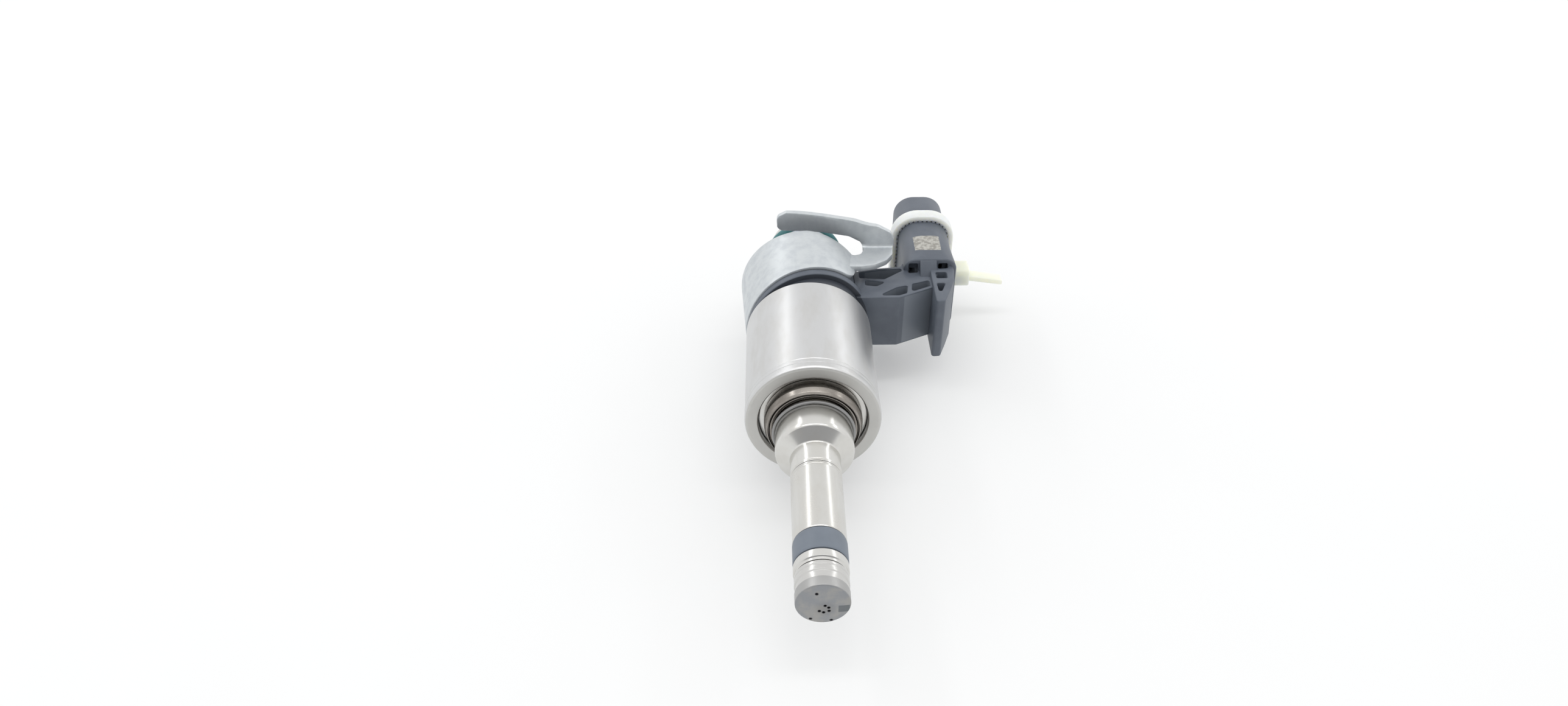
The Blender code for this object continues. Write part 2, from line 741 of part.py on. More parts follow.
def make_mouth_rings():
    inner = BODY_RADIUS + FIT_GAP
    washer_high = web_low() - FIT_GAP
    washer_low = washer_high - WASHER_THICKNESS
    turned(
        "backing_washer",
        tube_profile(inner, WASHER_RADIUS, washer_low, washer_high, CHAMFER / 2),
        STEEL,
    )
    ring_high = washer_low - FIT_GAP
    shoulder_y = DECOUPLING_TIP_Y + 0.55 * (ring_high - DECOUPLING_TIP_Y)
    turned(
        "decoupling_ring",
        [
            (inner, ring_high),
            (DECOUPLING_RADIUS, ring_high),
            (DECOUPLING_RADIUS, shoulder_y),
            (DECOUPLING_TIP_RADIUS + CHAMFER, DECOUPLING_TIP_Y + CHAMFER),
            (DECOUPLING_TIP_RADIUS - CHAMFER, DECOUPLING_TIP_Y),
            (inner + 2 * CHAMFER, DECOUPLING_TIP_Y),
            (inner, DECOUPLING_TIP_Y + 2 * CHAMFER),
        ],
        BRONZE,
    )


def make_coil():
    inner = BODY_RADIUS + FIT_GAP
    web = inner + BOBBIN_WALL
    outer = housing_bore() - FIT_GAP
    low = bobbin_low()
    turned(
        "coil_bobbin",
        [
            (inner, BOBBIN_TOP_Y),
            (outer, BOBBIN_TOP_Y),
            (outer, BOBBIN_TOP_Y - BOBBIN_FLANGE),
            (web, BOBBIN_TOP_Y - BOBBIN_FLANGE),
            (web, low + BOBBIN_FLANGE),
            (outer, low + BOBBIN_FLANGE),
            (outer, low),
            (inner, low),
        ],
        BOBBIN_NYLON,
    )
    turned(
        "coil_winding",
        tube_profile(
            web + FIT_GAP,
            web + FIT_GAP + WINDING_DEPTH,
            low + BOBBIN_FLANGE + FIT_GAP,
            BOBBIN_TOP_Y - BOBBIN_FLANGE - FIT_GAP,
        ),
        COPPER,
    )


def make_cover_washer():
    low = BOBBIN_TOP_Y + FIT_GAP
    high = low + COVER_THICKNESS
    outer = housing_bore() - FIT_GAP
    cover = turned("cover_washer", tube_profile(BODY_RADIUS + FIT_GAP, outer, low, high), MAGNET_IRON)
    slot_half = TERMINAL_Z + TERMINAL_HALF_THICKNESS + 2 * FIT_GAP
    slot_low = TERMINAL_ROOT_X - TERMINAL_WIDTH / 2 - 2 * FIT_GAP
    slot = [
        (slot_low, -slot_half),
        (HOUSING_RADIUS, -slot_half),
        (HOUSING_RADIUS, slot_half),
        (slot_low, slot_half),
    ]
    boolean(cover, plate_cutter("terminal_slot", [slot], low - MM, high + MM, True), "DIFFERENCE")


# ================================================================ plastic moulding
def terminal_path():
    return [
        (TERMINAL_ROOT_X, BOBBIN_TOP_Y + FIT_GAP),
        (TERMINAL_ROOT_X, TERMINAL_BEND_Y),
        (CONNECTOR_X, TERMINAL_BEND_Y + 4.7 * MM),
        (CONNECTOR_X, CONNECTOR_MOUTH_Y - PIN_SETBACK),
    ]


def make_terminals():
    for number, side in ((1, 1), (2, -1)):
        low = side * TERMINAL_Z - TERMINAL_HALF_THICKNESS
        high = side * TERMINAL_Z + TERMINAL_HALF_THICKNESS
        name = f"terminal_{number}"
        add_part(name, plate_mesh(name, [strip_outline(terminal_path(), TERMINAL_WIDTH)], low, high), TIN)


def clip_low_edge(angle):
    """The lower edge of the clip's band, which falls towards its closed side at -X."""
    x = COLLAR_RADIUS * math.cos(angle)
    return CLIP_LOW_Y + CLIP_SLANT * x + CLIP_SLANT_CURVE * x * x


def flange_mesh():
    """The moulding's rim, which follows the lower edge of the clip."""
    inner = COLLAR_RADIUS - MM
    work = bmesh.new()
    rings = []
    for radius, drop in ((inner, 0.0), (FLANGE_RADIUS, 0.0), (FLANGE_RADIUS, 1.0), (inner, 1.0)):
        ring = []
        for i in range(FACETS):
            angle = math.tau * i / FACETS
            top = clip_low_edge(angle) - CLIP_GAP
            low = max(top - FLANGE_THICKNESS, HOUSING_TOP_Y + FIT_GAP)
            along = top + (low - top) * drop
            ring.append(work.verts.new((radius * math.cos(angle), along, radius * math.sin(angle))))
        rings.append(ring)
    for one, two in zip(rings, rings[1:] + rings[:1]):
        for i in range(FACETS):
            j = (i + 1) % FACETS
            work.faces.new((one[i], one[j], two[j], two[i]))
    bmesh.ops.recalc_face_normals(work, faces=work.faces)
    mesh = bpy.data.meshes.new("flange")
    work.to_mesh(mesh)
    work.free()
    return mesh


def arm_outline():
    """The arm seen from above, from inside the collar to the connector."""
    root = COLLAR_RADIUS - 1.45 * MM
    return [
        (root, ARM_FRONT_Y),
        (16.6 * MM, ARM_FRONT_Y + 0.1 * MM),
        (KEEL_X + 0.5 * MM, ARM_FRONT_Y + 3.3 * MM),
        (KEEL_X + 0.5 * MM, ARM_REAR_Y + 1.9 * MM),
        (17.6 * MM, ARM_REAR_Y + 1.9 * MM),
        (16.9 * MM, ARM_REAR_Y + 0.2 * MM),
        (10.6 * MM, ARM_REAR_Y - 0.6 * MM),
        (root, ARM_REAR_Y - 1.6 * MM),
    ]


def keel_outline():
    """The end plate seen from above."""
    return [
        (KEEL_X, KEEL_FRONT_Y),
        (KEEL_X + 1.60 * MM, KEEL_FRONT_Y + 0.15 * MM),
        (KEEL_X + 2.85 * MM, KEEL_FRONT_Y + 3.60 * MM),
        (KEEL_X + 3.95 * MM, KEEL_FRONT_Y + 6.70 * MM),
        (KEEL_X + 4.30 * MM, KEEL_FRONT_Y + 10.0 * MM),
        (KEEL_X + 4.20 * MM, KEEL_FRONT_Y + 12.2 * MM),
        (KEEL_X + 3.35 * MM, KEEL_FRONT_Y + 14.0 * MM),
        (KEEL_X, KEEL_FRONT_Y + 14.2 * MM),
    ]


def pocket_outlines():
    """The pockets in the top of the arm and the end plate, which leave a lattice of ribs."""
    front = ARM_FRONT_Y
    rear = ARM_REAR_Y
    keel = KEEL_FRONT_Y
    return {
        "front_pocket": [
            (12.4 * MM, front + 0.75 * MM),
            (15.9 * MM, front + 0.75 * MM),
            (KEEL_X - 0.3 * MM, front + 3.9 * MM),
            (KEEL_X - 0.3 * MM, front + 5.6 * MM),
            (16.5 * MM, front + 3.6 * MM),
        ],
        "collar_pocket": [
            (11.3 * MM, front + 4.1 * MM),
            (14.0 * MM, front + 5.3 * MM),
            (11.3 * MM, front + 5.7 * MM),
        ],
        "rear_pocket": [
            (11.3 * MM, rear - 3.2 * MM),
            (13.9 * MM, rear - 3.6 * MM),
            (17.1 * MM, rear - 1.2 * MM),
            (16.8 * MM, rear - 0.6 * MM),
            (12.0 * MM, rear - 1.3 * MM),
        ],
        "root_pocket": [
            (18.2 * MM, CONNECTOR_FRONT_Y - 0.7 * MM),
            (RAMP_LOW_X - 0.3 * MM, CONNECTOR_FRONT_Y - 0.5 * MM),
            (RAMP_LOW_X - 0.3 * MM, CONNECTOR_FRONT_Y + 1.2 * MM),
            (18.2 * MM, CONNECTOR_FRONT_Y + 1.2 * MM),
        ],
        "plate_window": rounded_rectangle(
            KEEL_X + 1.85 * MM, keel + 8.35 * MM, 1.9 * MM, 1.9 * MM, 0.35 * MM, 3
        ),
        "plate_wedge": [
            (KEEL_X + 0.65 * MM, keel + 5.7 * MM),
            (KEEL_X + 1.00 * MM, keel + 2.2 * MM),
            (KEEL_X + 2.20 * MM, keel + 5.7 * MM),
        ],
        "arch_pocket": [
            (RAMP_HIGH_X + 0.3 * MM, CONNECTOR_FRONT_Y - 0.6 * MM),
            (KEEL_X + 3.30 * MM, CONNECTOR_FRONT_Y - 0.4 * MM),
            (KEEL_X + 3.30 * MM, CONNECTOR_FRONT_Y + 1.2 * MM),
            (RAMP_HIGH_X + 0.3 * MM, CONNECTOR_FRONT_Y + 1.2 * MM),
        ],
    }


def connector_section(width, height, corner):
    """The connector's outline across its length."""
    return rounded_rectangle(CONNECTOR_X, 0.0, width, height, corner)


def connector_mesh():
    """The connector's outside, squarer where it leaves the arm and rounder at its mouth."""
    full = connector_section(CONNECTOR_WIDTH, CONNECTOR_HEIGHT, CONNECTOR_CORNER)
    front = connector_section(CONNECTOR_FRONT_WIDTH, CONNECTOR_FRONT_HEIGHT, CONNECTOR_FRONT_CORNER)
    sections = ((CONNECTOR_FRONT_Y, front), (CONNECTOR_BLEND_Y, full), (CONNECTOR_MOUTH_Y, full))
    work = bmesh.new()
    rings = [[work.verts.new((x, along, z)) for x, z in outline] for along, outline in sections]
    for one, two in zip(rings, rings[1:]):
        for i in range(len(one)):
            work.faces.new((one[i - 1], one[i], two[i], two[i - 1]))
    work.faces.new(rings[0])
    work.faces.new(rings[-1])
    bmesh.ops.triangulate(work, faces=work.faces)
    bmesh.ops.recalc_face_normals(work, faces=work.faces)
    mesh = bpy.data.meshes.new("connector")
    work.to_mesh(mesh)
    work.free()
    return mesh


def ramp_mesh():
    """The wedge from the top of the arm up to the connector, seen from the side as a triangle."""
    top = CONNECTOR_FRONT_HEIGHT / 2 - CHAMFER
    profile = (
        (CONNECTOR_FRONT_Y - RAMP_LENGTH, ARM_HALF_HEIGHT - CHAMFER),
        (CONNECTOR_FRONT_Y + CHAMFER, ARM_HALF_HEIGHT - CHAMFER),
        (CONNECTOR_FRONT_Y + CHAMFER, top),
        (CONNECTOR_FRONT_Y, top),
    )
    work = bmesh.new()
    ends = [[work.verts.new((x, y, z)) for y, z in profile] for x in (RAMP_LOW_X, RAMP_HIGH_X)]
    one, two = ends
    for i in range(len(profile)):
        work.faces.new((one[i - 1], one[i], two[i], two[i - 1]))
    work.faces.new(one)
    work.faces.new(two)
    bmesh.ops.recalc_face_normals(work, faces=work.faces)
    mesh = bpy.data.meshes.new("ramp")
    work.to_mesh(mesh)
    work.free()
    return mesh


def make_overmould():
    plug = housing_bore() - FIT_GAP
    foot_y = HOUSING_TOP_Y + FIT_GAP
    foot_top = clip_low_edge(math.pi) - CLIP_GAP
    moulding = turned(
        "overmould",
        [
            (TUBE_RADIUS + FIT_GAP, COLLAR_TOP_Y),
            (COLLAR_NECK_RADIUS - 2 * CHAMFER, COLLAR_TOP_Y),
            (COLLAR_NECK_RADIUS, COLLAR_TOP_Y - 2 * CHAMFER),
            (COLLAR_NECK_RADIUS, COLLAR_SHOULDER_Y),
            (COLLAR_RADIUS, COLLAR_SHOULDER_Y),
            (COLLAR_RADIUS, foot_top),
            (COLLAR_FOOT_RADIUS, foot_top),
            (COLLAR_FOOT_RADIUS, foot_y),
            (plug, foot_y),
            (plug, CORE_COLLAR_TOP_Y + FIT_GAP),
            (TUBE_RADIUS + FIT_GAP, CORE_COLLAR_TOP_Y + FIT_GAP),
        ],
        BLACK_NYLON,
    )
    socket = connector_section(
        CONNECTOR_WIDTH - 2 * SOCKET_WALL, CONNECTOR_HEIGHT - 2 * SOCKET_WALL, CONNECTOR_CORNER - SOCKET_WALL
    )
    ramp = ramp_mesh()
    joined = [
        mesh_cutter("flange", flange_mesh()),
        plate_cutter("arm", [arm_outline()], -ARM_HALF_HEIGHT, ARM_HALF_HEIGHT),
        plate_cutter("end_plate", [keel_outline()], -KEEL_HALF_HEIGHT, KEEL_HALF_HEIGHT),
        mesh_cutter("connector", connector_mesh()),
        mesh_cutter("ramp_above", ramp),
        mesh_cutter("ramp_below", mirrored(ramp, "ramp_below")),
    ]
    for piece in joined:
        boolean(moulding, piece, "UNION")
    removed = [
        plate_cutter("socket", [socket], CONNECTOR_MOUTH_Y - SOCKET_DEPTH, CONNECTOR_MOUTH_Y + MM, True)
    ]
    channel = strip_outline(
        [(x, y - (MM if i == 0 else 0.0)) for i, (x, y) in enumerate(terminal_path())],
        TERMINAL_WIDTH + 2 * FIT_GAP,
    )
    for number, side in ((1, 1), (2, -1)):
        reach = TERMINAL_HALF_THICKNESS + FIT_GAP
        middle = side * TERMINAL_Z
        removed.append(plate_cutter(f"channel_{number}", [channel], middle - reach, middle + reach))
    for name, outline in pocket_outlines().items():
        top = KEEL_HALF_HEIGHT if name.startswith(("plate", "arch")) else ARM_HALF_HEIGHT
        floor = top - POCKET_DEPTH
        lid = top + 0.8 * MM
        removed.append(plate_cutter(f"{name}_above", [outline], floor, lid))
        removed.append(plate_cutter(f"{name}_below", [outline], -lid, -floor))
    for piece in removed:
        boolean(moulding, piece, "DIFFERENCE")


# ================================================================ spring clip
def band_radius(along):
    """The clip's inner radius grows a little towards the inlet."""
    return COLLAR_RADIUS + CLIP_GAP + CLIP_FLARE * (along - clip_low_edge(math.pi))


def leaf_y(x):
    """The leaf rises along Y in a smooth curve from its fold to its free tip."""
    share = min(max((LEAF_BEND_END_X - x) / (LEAF_BEND_END_X - ARM_TIP_X), 0.0), 1.0)
    return ARM_RISE * math.sin(share * math.pi / 2) ** 1.1


def leaf_outline():
    """The flat outline of the leaf in x and z, before it is bent along Y."""
    half = (LEAF_OUTER_Z - LEAF_INNER_Z) / 2
    middle = (LEAF_OUTER_Z + LEAF_INNER_Z) / 2 - 0.1 * MM
    outline = []
    for step in range(7):
        angle = math.pi / 2 + math.pi * step / 6
        outline.append((ARM_TIP_X + half + half * math.cos(angle), middle + half * math.sin(angle)))
    outline += [
        (2.0 * MM, LEAF_INNER_Z + 0.15 * MM),
        (8.0 * MM, LEAF_INNER_Z + 0.55 * MM),
        (9.5 * MM, LEAF_INNER_Z),
        (10.0 * MM, TAB_TOP_Z - CLIP_THICKNESS),
        (TAB_END_X, TAB_TOP_Z - CLIP_THICKNESS),
        (TAB_END_X + 0.3 * MM, LEAF_OUTER_Z - 3.0 * MM),
        (TAB_END_X - 0.3 * MM, LEAF_OUTER_Z - 1.8 * MM),
        (TAB_END_X - 2.1 * MM, LEAF_OUTER_Z - 0.7 * MM),
        (LEAF_BEND_END_X, LEAF_OUTER_Z + 0.2 * MM),
        (8.0 * MM, LEAF_OUTER_Z + 0.5 * MM),
        (4.5 * MM, LEAF_OUTER_Z + 0.35 * MM),
        (1.0 * MM, LEAF_OUTER_Z + 0.1 * MM),
    ]
    return outline


def tab_outline():
    """The flat tab in x and y, from the neck on the band to the fold."""
    return [
        (7.3 * MM, NECK_LOW_Y),
        (10.4 * MM, NECK_LOW_Y + 0.1 * MM),
        (12.0 * MM, NECK_LOW_Y + 0.6 * MM),
        (14.1 * MM, NECK_LOW_Y + 2.0 * MM),
        (TAB_END_X - 0.3 * MM, NECK_LOW_Y + 3.8 * MM),
        (TAB_END_X, FOLD_Y - CLIP_THICKNESS),
        (TAB_END_X, FOLD_Y + CLIP_THICKNESS / 2),
        (10.0 * MM, FOLD_Y + CLIP_THICKNESS / 2),
        (10.0 * MM, NECK_HIGH_Y + 1.0 * MM),
        (9.3 * MM, NECK_HIGH_Y),
        (7.3 * MM, NECK_HIGH_Y),
    ]


def band_mesh():
    """The open band round the collar, as a sheet with its thickness."""
    columns, rows = 32, 1
    work = bmesh.new()
    opening = math.radians(CLIP_OPENING)
    layers = []
    for extra in (0.0, CLIP_THICKNESS):
        layer = []
        for i in range(columns + 1):
            angle = opening + (math.tau - 2 * opening) * i / columns
            column = []
            for j in range(rows + 1):
                low = clip_low_edge(angle)
                along = low + (CLIP_HIGH_Y - low) * j / rows
                radius = band_radius(along) + extra
                column.append(work.verts.new((radius * math.cos(angle), along, radius * math.sin(angle))))
            layer.append(column)
        layers.append(layer)
    inner, outer = layers
    for i in range(columns):
        for j in range(rows):
            for sheet in layers:
                work.faces.new((sheet[i][j], sheet[i + 1][j], sheet[i + 1][j + 1], sheet[i][j + 1]))
        for j in (0, rows):
            work.faces.new((inner[i][j], inner[i + 1][j], outer[i + 1][j], outer[i][j]))
    for i in (0, columns):
        for j in range(rows):
            work.faces.new((inner[i][j], inner[i][j + 1], outer[i][j + 1], outer[i][j]))
    bmesh.ops.recalc_face_normals(work, faces=work.faces)
    mesh = bpy.data.meshes.new("band")
    work.to_mesh(mesh)
    work.free()
    shade_round(mesh)
    return mesh


def mirrored(mesh, name):
    """A copy of a mesh on the other side of the injector's middle plane."""
    copy = mesh.copy()
    copy.name = name
    copy.transform(Matrix.Scale(-1.0, 4, (0.0, 0.0, 1.0)))
    copy.flip_normals()
    return copy


def bent_leaf_mesh():
    """The leaf's outline, cut into short runs along x so that it bends evenly, then bent along Y."""
    half = CLIP_THICKNESS / 2
    mesh = plate_mesh("leaf", [leaf_outline()], FOLD_Y - half, FOLD_Y + half, True)
    work = bmesh.new()
    work.from_mesh(mesh)
    for step in range(1, LEAF_BENDS + 1):
        place = ARM_TIP_X + (LEAF_BEND_END_X - ARM_TIP_X) * step / (LEAF_BENDS + 1)
        everything = work.verts[:] + work.edges[:] + work.faces[:]
        bmesh.ops.bisect_plane(work, geom=everything, plane_co=(place, 0, 0), plane_no=(1, 0, 0))
    for vertex in work.verts:
        vertex.co.y += leaf_y(vertex.co.x)
    bmesh.ops.triangulate(work, faces=work.faces)
    work.to_mesh(mesh)
    work.free()
    return mesh


def make_spring_clip():
    clip = add_part("spring_clip", band_mesh(), ZINC)
    tab = plate_mesh("tab", [tab_outline()], TAB_TOP_Z - CLIP_THICKNESS, TAB_TOP_Z)
    leaf = bent_leaf_mesh()
    for name, mesh in (("tab", tab), ("leaf", leaf)):
        boolean(clip, mesh_cutter(f"{name}_above", mesh), "UNION")
        boolean(clip, mesh_cutter(f"{name}_below", mirrored(mesh, f"{name}_below")), "UNION")


# ================================================================ cable tie
def make_cable_tie():
    hole = rounded_rectangle(
        CONNECTOR_X,
        0.0,
        CONNECTOR_WIDTH + 2 * FIT_GAP,
        CONNECTOR_HEIGHT + 2 * FIT_GAP,
        CONNECTOR_CORNER + FIT_GAP,
    )
    reach = FIT_GAP + TIE_THICKNESS
    rim = rounded_rectangle(
        CONNECTOR_X, 0.0, CONNECTOR_WIDTH + 2 * reach, CONNECTOR_HEIGHT + 2 * reach, CONNECTOR_CORNER + reach
    )
    tie = add_part(
        "cable_tie", plate_mesh("cable_tie", [rim, hole], TIE_Y, TIE_Y + TIE_WIDTH, True), IVORY_NYLON
    )
    side = CONNECTOR_X + CONNECTOR_WIDTH / 2 + reach
    middle_y = TIE_Y + TIE_WIDTH / 2
    head = rounded_rectangle(
        side + TIE_HEAD_WIDTH / 2 - 0.6 * MM, TIE_HEAD_Z, TIE_HEAD_WIDTH, TIE_HEAD_HEIGHT, 0.5 * MM, 3
    )
    head_low = middle_y - TIE_HEAD_LENGTH / 2
    boolean(tie, plate_cutter("tie_head", [head], head_low, head_low + TIE_HEAD_LENGTH, True), "UNION")
    tail_start = side + TIE_HEAD_WIDTH - 1.2 * MM
    tail_end = tail_start + TIE_TAIL_LENGTH
    tail_half = TIE_THICKNESS / 2
    tail_z = TIE_HEAD_Z - tail_half
    tail = [
        (tail_start, tail_z - tail_half),
        (tail_end, tail_z - tail_half - TIE_TAIL_DROP),
        (tail_end, tail_z + tail_half - TIE_TAIL_DROP),
        (tail_start, tail_z + tail_half),
    ]
    boolean(tie, plate_cutter("tie_tail", [tail], TIE_Y, TIE_Y + TIE_WIDTH, True), "UNION")


# ================================================================ assembly
clear_scene()
PARTS = collection_named("fuel_injector")
CUTTERS = collection_named("cutters")

STEEL = finish("stainless_steel", (0.62, 0.61, 0.59), 0.28, 1.0)
SPRING_STEEL = finish("spring_steel", (0.70, 0.70, 0.71), 0.22, 1.0)
MAGNET_IRON = finish("magnet_iron", (0.42, 0.42, 0.43), 0.40, 1.0)
ZINC = finish("zinc_plate", (0.66, 0.70, 0.72), 0.38, 1.0)
BRONZE = finish("bronze_ring", (0.38, 0.27, 0.20), 0.30, 1.0)
COPPER = finish("enamelled_copper", (0.60, 0.26, 0.12), 0.35, 1.0)
TIN = finish("tinned_terminal", (0.75, 0.75, 0.74), 0.30, 1.0)
PTFE = finish("blue_grey_ptfe", (0.17, 0.21, 0.25), 0.45)
BLACK_NYLON = finish("black_glass_filled_nylon", (0.055, 0.065, 0.080), 0.50)
BOBBIN_NYLON = finish("bobbin_nylon", (0.35, 0.33, 0.28), 0.50)
TEAL_RUBBER = finish("teal_rubber", (0.06, 0.22, 0.22), 0.40)
IVORY_NYLON = finish("natural_nylon", (0.78, 0.76, 0.68), 0.42)
FILTER_MESH = finish("filter_mesh", (0.55, 0.55, 0.52), 0.55, 0.6)

make_valve_seat()
make_valve_ball()
make_nozzle_tube()
make_chamber_seal()
make_valve_body()
make_needle_guide()
make_snap_ring()
make_needle()
make_armature()
make_stops()
make_return_spring()
make_separator_ring()
make_pole_core()
make_adjusting_sleeve()
make_inlet_tube()
make_inlet_rings()
make_inlet_filter()
make_magnet_housing()
make_mouth_rings()
make_coil()
make_cover_washer()
make_terminals()
make_overmould()
make_spring_clip()
make_cable_tie()
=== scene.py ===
# %% [markdown]
# # A direct-injection fuel injector
# The part is a slim steel nozzle, a steel magnet housing, a black moulded arm that ends in an
# electrical connector, a sprung hold-down clip and a fuel inlet with an O-ring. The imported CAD
# model is loaded first and nothing in it is moved. Every piece below is modelled in the CAD's own
# frame: the tip's end face is at the origin, +Y runs to the inlet, +X to the connector, +Z is up.

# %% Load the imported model
import json
import math

import bmesh
import bpy
from mathutils import Matrix, Vector
from mathutils.geometry import tessellate_polygon


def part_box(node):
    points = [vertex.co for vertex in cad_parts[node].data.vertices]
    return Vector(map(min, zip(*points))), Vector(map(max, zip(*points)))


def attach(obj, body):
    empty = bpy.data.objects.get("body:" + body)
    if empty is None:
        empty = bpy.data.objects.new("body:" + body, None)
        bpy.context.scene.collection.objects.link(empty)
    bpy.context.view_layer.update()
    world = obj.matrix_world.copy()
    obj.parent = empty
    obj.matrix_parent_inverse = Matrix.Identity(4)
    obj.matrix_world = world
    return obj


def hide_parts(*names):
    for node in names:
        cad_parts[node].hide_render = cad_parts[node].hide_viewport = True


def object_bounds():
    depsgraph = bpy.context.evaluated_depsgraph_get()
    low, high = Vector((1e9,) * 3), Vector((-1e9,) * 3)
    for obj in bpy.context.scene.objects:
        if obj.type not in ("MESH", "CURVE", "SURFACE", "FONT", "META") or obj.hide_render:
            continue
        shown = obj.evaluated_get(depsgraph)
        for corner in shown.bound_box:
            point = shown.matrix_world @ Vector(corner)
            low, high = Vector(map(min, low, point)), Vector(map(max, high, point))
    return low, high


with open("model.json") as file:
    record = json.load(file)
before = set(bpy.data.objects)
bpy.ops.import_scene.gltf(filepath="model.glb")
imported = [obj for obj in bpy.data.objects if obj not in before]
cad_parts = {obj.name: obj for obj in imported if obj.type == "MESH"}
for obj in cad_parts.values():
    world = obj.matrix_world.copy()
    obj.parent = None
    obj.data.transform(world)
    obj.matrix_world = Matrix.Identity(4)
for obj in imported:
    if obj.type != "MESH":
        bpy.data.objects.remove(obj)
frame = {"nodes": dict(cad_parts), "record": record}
cad_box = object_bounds()
MM = 0.001

# %% [markdown]
# ## Where things are
# Lengths are written in millimetres and scaled once, when a mesh is made. The places come from the
# CAD nodes' own boxes: a turned node's radius is the largest x of its box, and its two ends are the
# lowest and highest y. Pieces that are pressed or welded together keep one small gap.

# %% Read the places of the CAD nodes
def span(node):
    """(radius, lowest y, highest y) of a turned CAD node, in millimetres."""
    low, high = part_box(node)
    return high.x / MM, low.y / MM, high.y / MM


TIP_R, TIP_Y, SPIGOT_TOP = span("valve_seat")
SHANK_R, SHANK_LOW, SHANK_HIGH = span("nozzle_tube")
SEAL_R, SEAL_LOW, SEAL_HIGH = span("chamber_seal")
BODY_R, BODY_LOW, BODY_HIGH = span("valve_body")
LIP_R, RIM_Y, HOUSING_TOP = span("magnet_housing")
WASHER_R, WASHER_LOW, WASHER_HIGH = span("backing_washer")
BRONZE_R, BRONZE_LOW, BRONZE_HIGH = span("decoupling_ring")
SHOULDER_R, TUBE_LOW, INLET_TOP = span("inlet_tube")
GAP = 0.1
print(f"tip: radius {TIP_R:.2f}, from {TIP_Y:.1f} to {SPIGOT_TOP:.1f}")
print(f"housing: radius {LIP_R:.2f}, from {RIM_Y:.1f} to {HOUSING_TOP:.1f}")

# %% [markdown]
# ## Nodes from Python
# Materials and Geometry Nodes are both node trees. One class wraps a tree and makes any node, and one
# wraps a socket, so that sums on sockets are written as plain arithmetic.

# %% A socket that can be added, multiplied and compared
class Signal:
    """One output socket. Arithmetic on it adds Math nodes."""

    def __init__(self, graph, socket):
        self.graph = graph
        self.socket = socket

    def math(self, operation, first, second):
        return self.graph.node("ShaderNodeMath", {"operation": operation}, {0: first, 1: second})

    def __add__(self, other):
        return self.math("ADD", self, other)

    def __radd__(self, other):
        return self.math("ADD", other, self)

    def __sub__(self, other):
        return self.math("SUBTRACT", self, other)

    def __rsub__(self, other):
        return self.math("SUBTRACT", other, self)

    def __mul__(self, other):
        return self.math("MULTIPLY", self, other)

    def __rmul__(self, other):
        return self.math("MULTIPLY", other, self)

    def __truediv__(self, other):
        return self.math("DIVIDE", self, other)

    def __rtruediv__(self, other):
        return self.math("DIVIDE", other, self)

    def __mod__(self, other):
        return self.math("FLOORED_MODULO", self, other)

    def __rmod__(self, other):
        return self.math("FLOORED_MODULO", other, self)

    def __gt__(self, other):
        return self.math("GREATER_THAN", self, other)

    def __lt__(self, other):
        return self.math("LESS_THAN", self, other)


# %% [markdown]
# A tree could be built by naming each node and linking it by hand. Here each node is one call that
# takes its settings and its sockets, and gives back the output that is used next. Two nodes that
# are needed again and again, a soft threshold and a mix of two colours, have calls of their own.

# %% A node tree that is written as calls
class Graph:
    """A node tree. node() adds one node and gives back the output that is used."""

    def __init__(self, tree):
        self.tree = tree

    def node(self, kind, settings=None, sockets=None, output=0):
        made = self.tree.nodes.new(kind)
        for name, value in (settings or {}).items():
            setattr(made, name, value)
        for name, value in (sockets or {}).items():
            if isinstance(value, Signal):
                self.tree.links.new(value.socket, made.inputs[name])
            else:
                made.inputs[name].default_value = value
        return Signal(self, made.outputs[output]) if made.outputs else None

    def limited(self, value, low, high):
        """0 below the low value, 1 above the high one, and a soft step between them."""
        sockets = {"Value": value, 1: low, 2: high}
        return self.node("ShaderNodeMapRange", {"interpolation_type": "SMOOTHSTEP"}, sockets)

    def blend(self, mask, first, second):
        """The first colour where the mask is 0, and the second where it is 1."""
        one, two = (value if isinstance(value, Signal) else (*value, 1.0) for value in (first, second))
        return self.node("ShaderNodeMix", {"data_type": "RGBA"}, {"Factor": mask, 6: one, 7: two}, 2)


# %% [markdown]
# A Geometry Nodes tree starts with its named inputs and ends in the same way each time: instances
# are made real, because an exported model drops them, and the finish is set on all faces.

# %% Open and close a Geometry Nodes tree
def open_tree(name, output, inputs):
    """A new tree. Gives its graph and one signal for each (label, socket type) input."""
    tree = bpy.data.node_groups.new(name, "GeometryNodeTree")
    for label, kind in inputs:
        tree.interface.new_socket(label, in_out="INPUT", socket_type=kind)
    tree.interface.new_socket(output, in_out="OUTPUT", socket_type="NodeSocketGeometry")
    graph = Graph(tree)
    given = tree.nodes.new("NodeGroupInput")
    return graph, [Signal(graph, given.outputs[i]) for i in range(len(inputs))]


def close_tree(graph, output, geometry, finish):
    real = graph.node("GeometryNodeRealizeInstances", {}, {"Geometry": geometry})
    painted = graph.node("GeometryNodeSetMaterial", {}, {"Geometry": real, "Material": finish})
    graph.node("NodeGroupOutput", {}, {output: painted})
    print(f"{graph.tree.name}: {len(graph.tree.nodes)} nodes")
    return graph.tree


# %% [markdown]
# ## Turning on a lathe
# The tip, shank, housing, rings and inlet are all turned, so one Geometry Nodes tree makes them. It
# lays a flat grid, gives each row of the grid one point of the profile, and wraps the columns round
# the injector's axis. Merging by distance closes the seam and any point that lies on the axis.

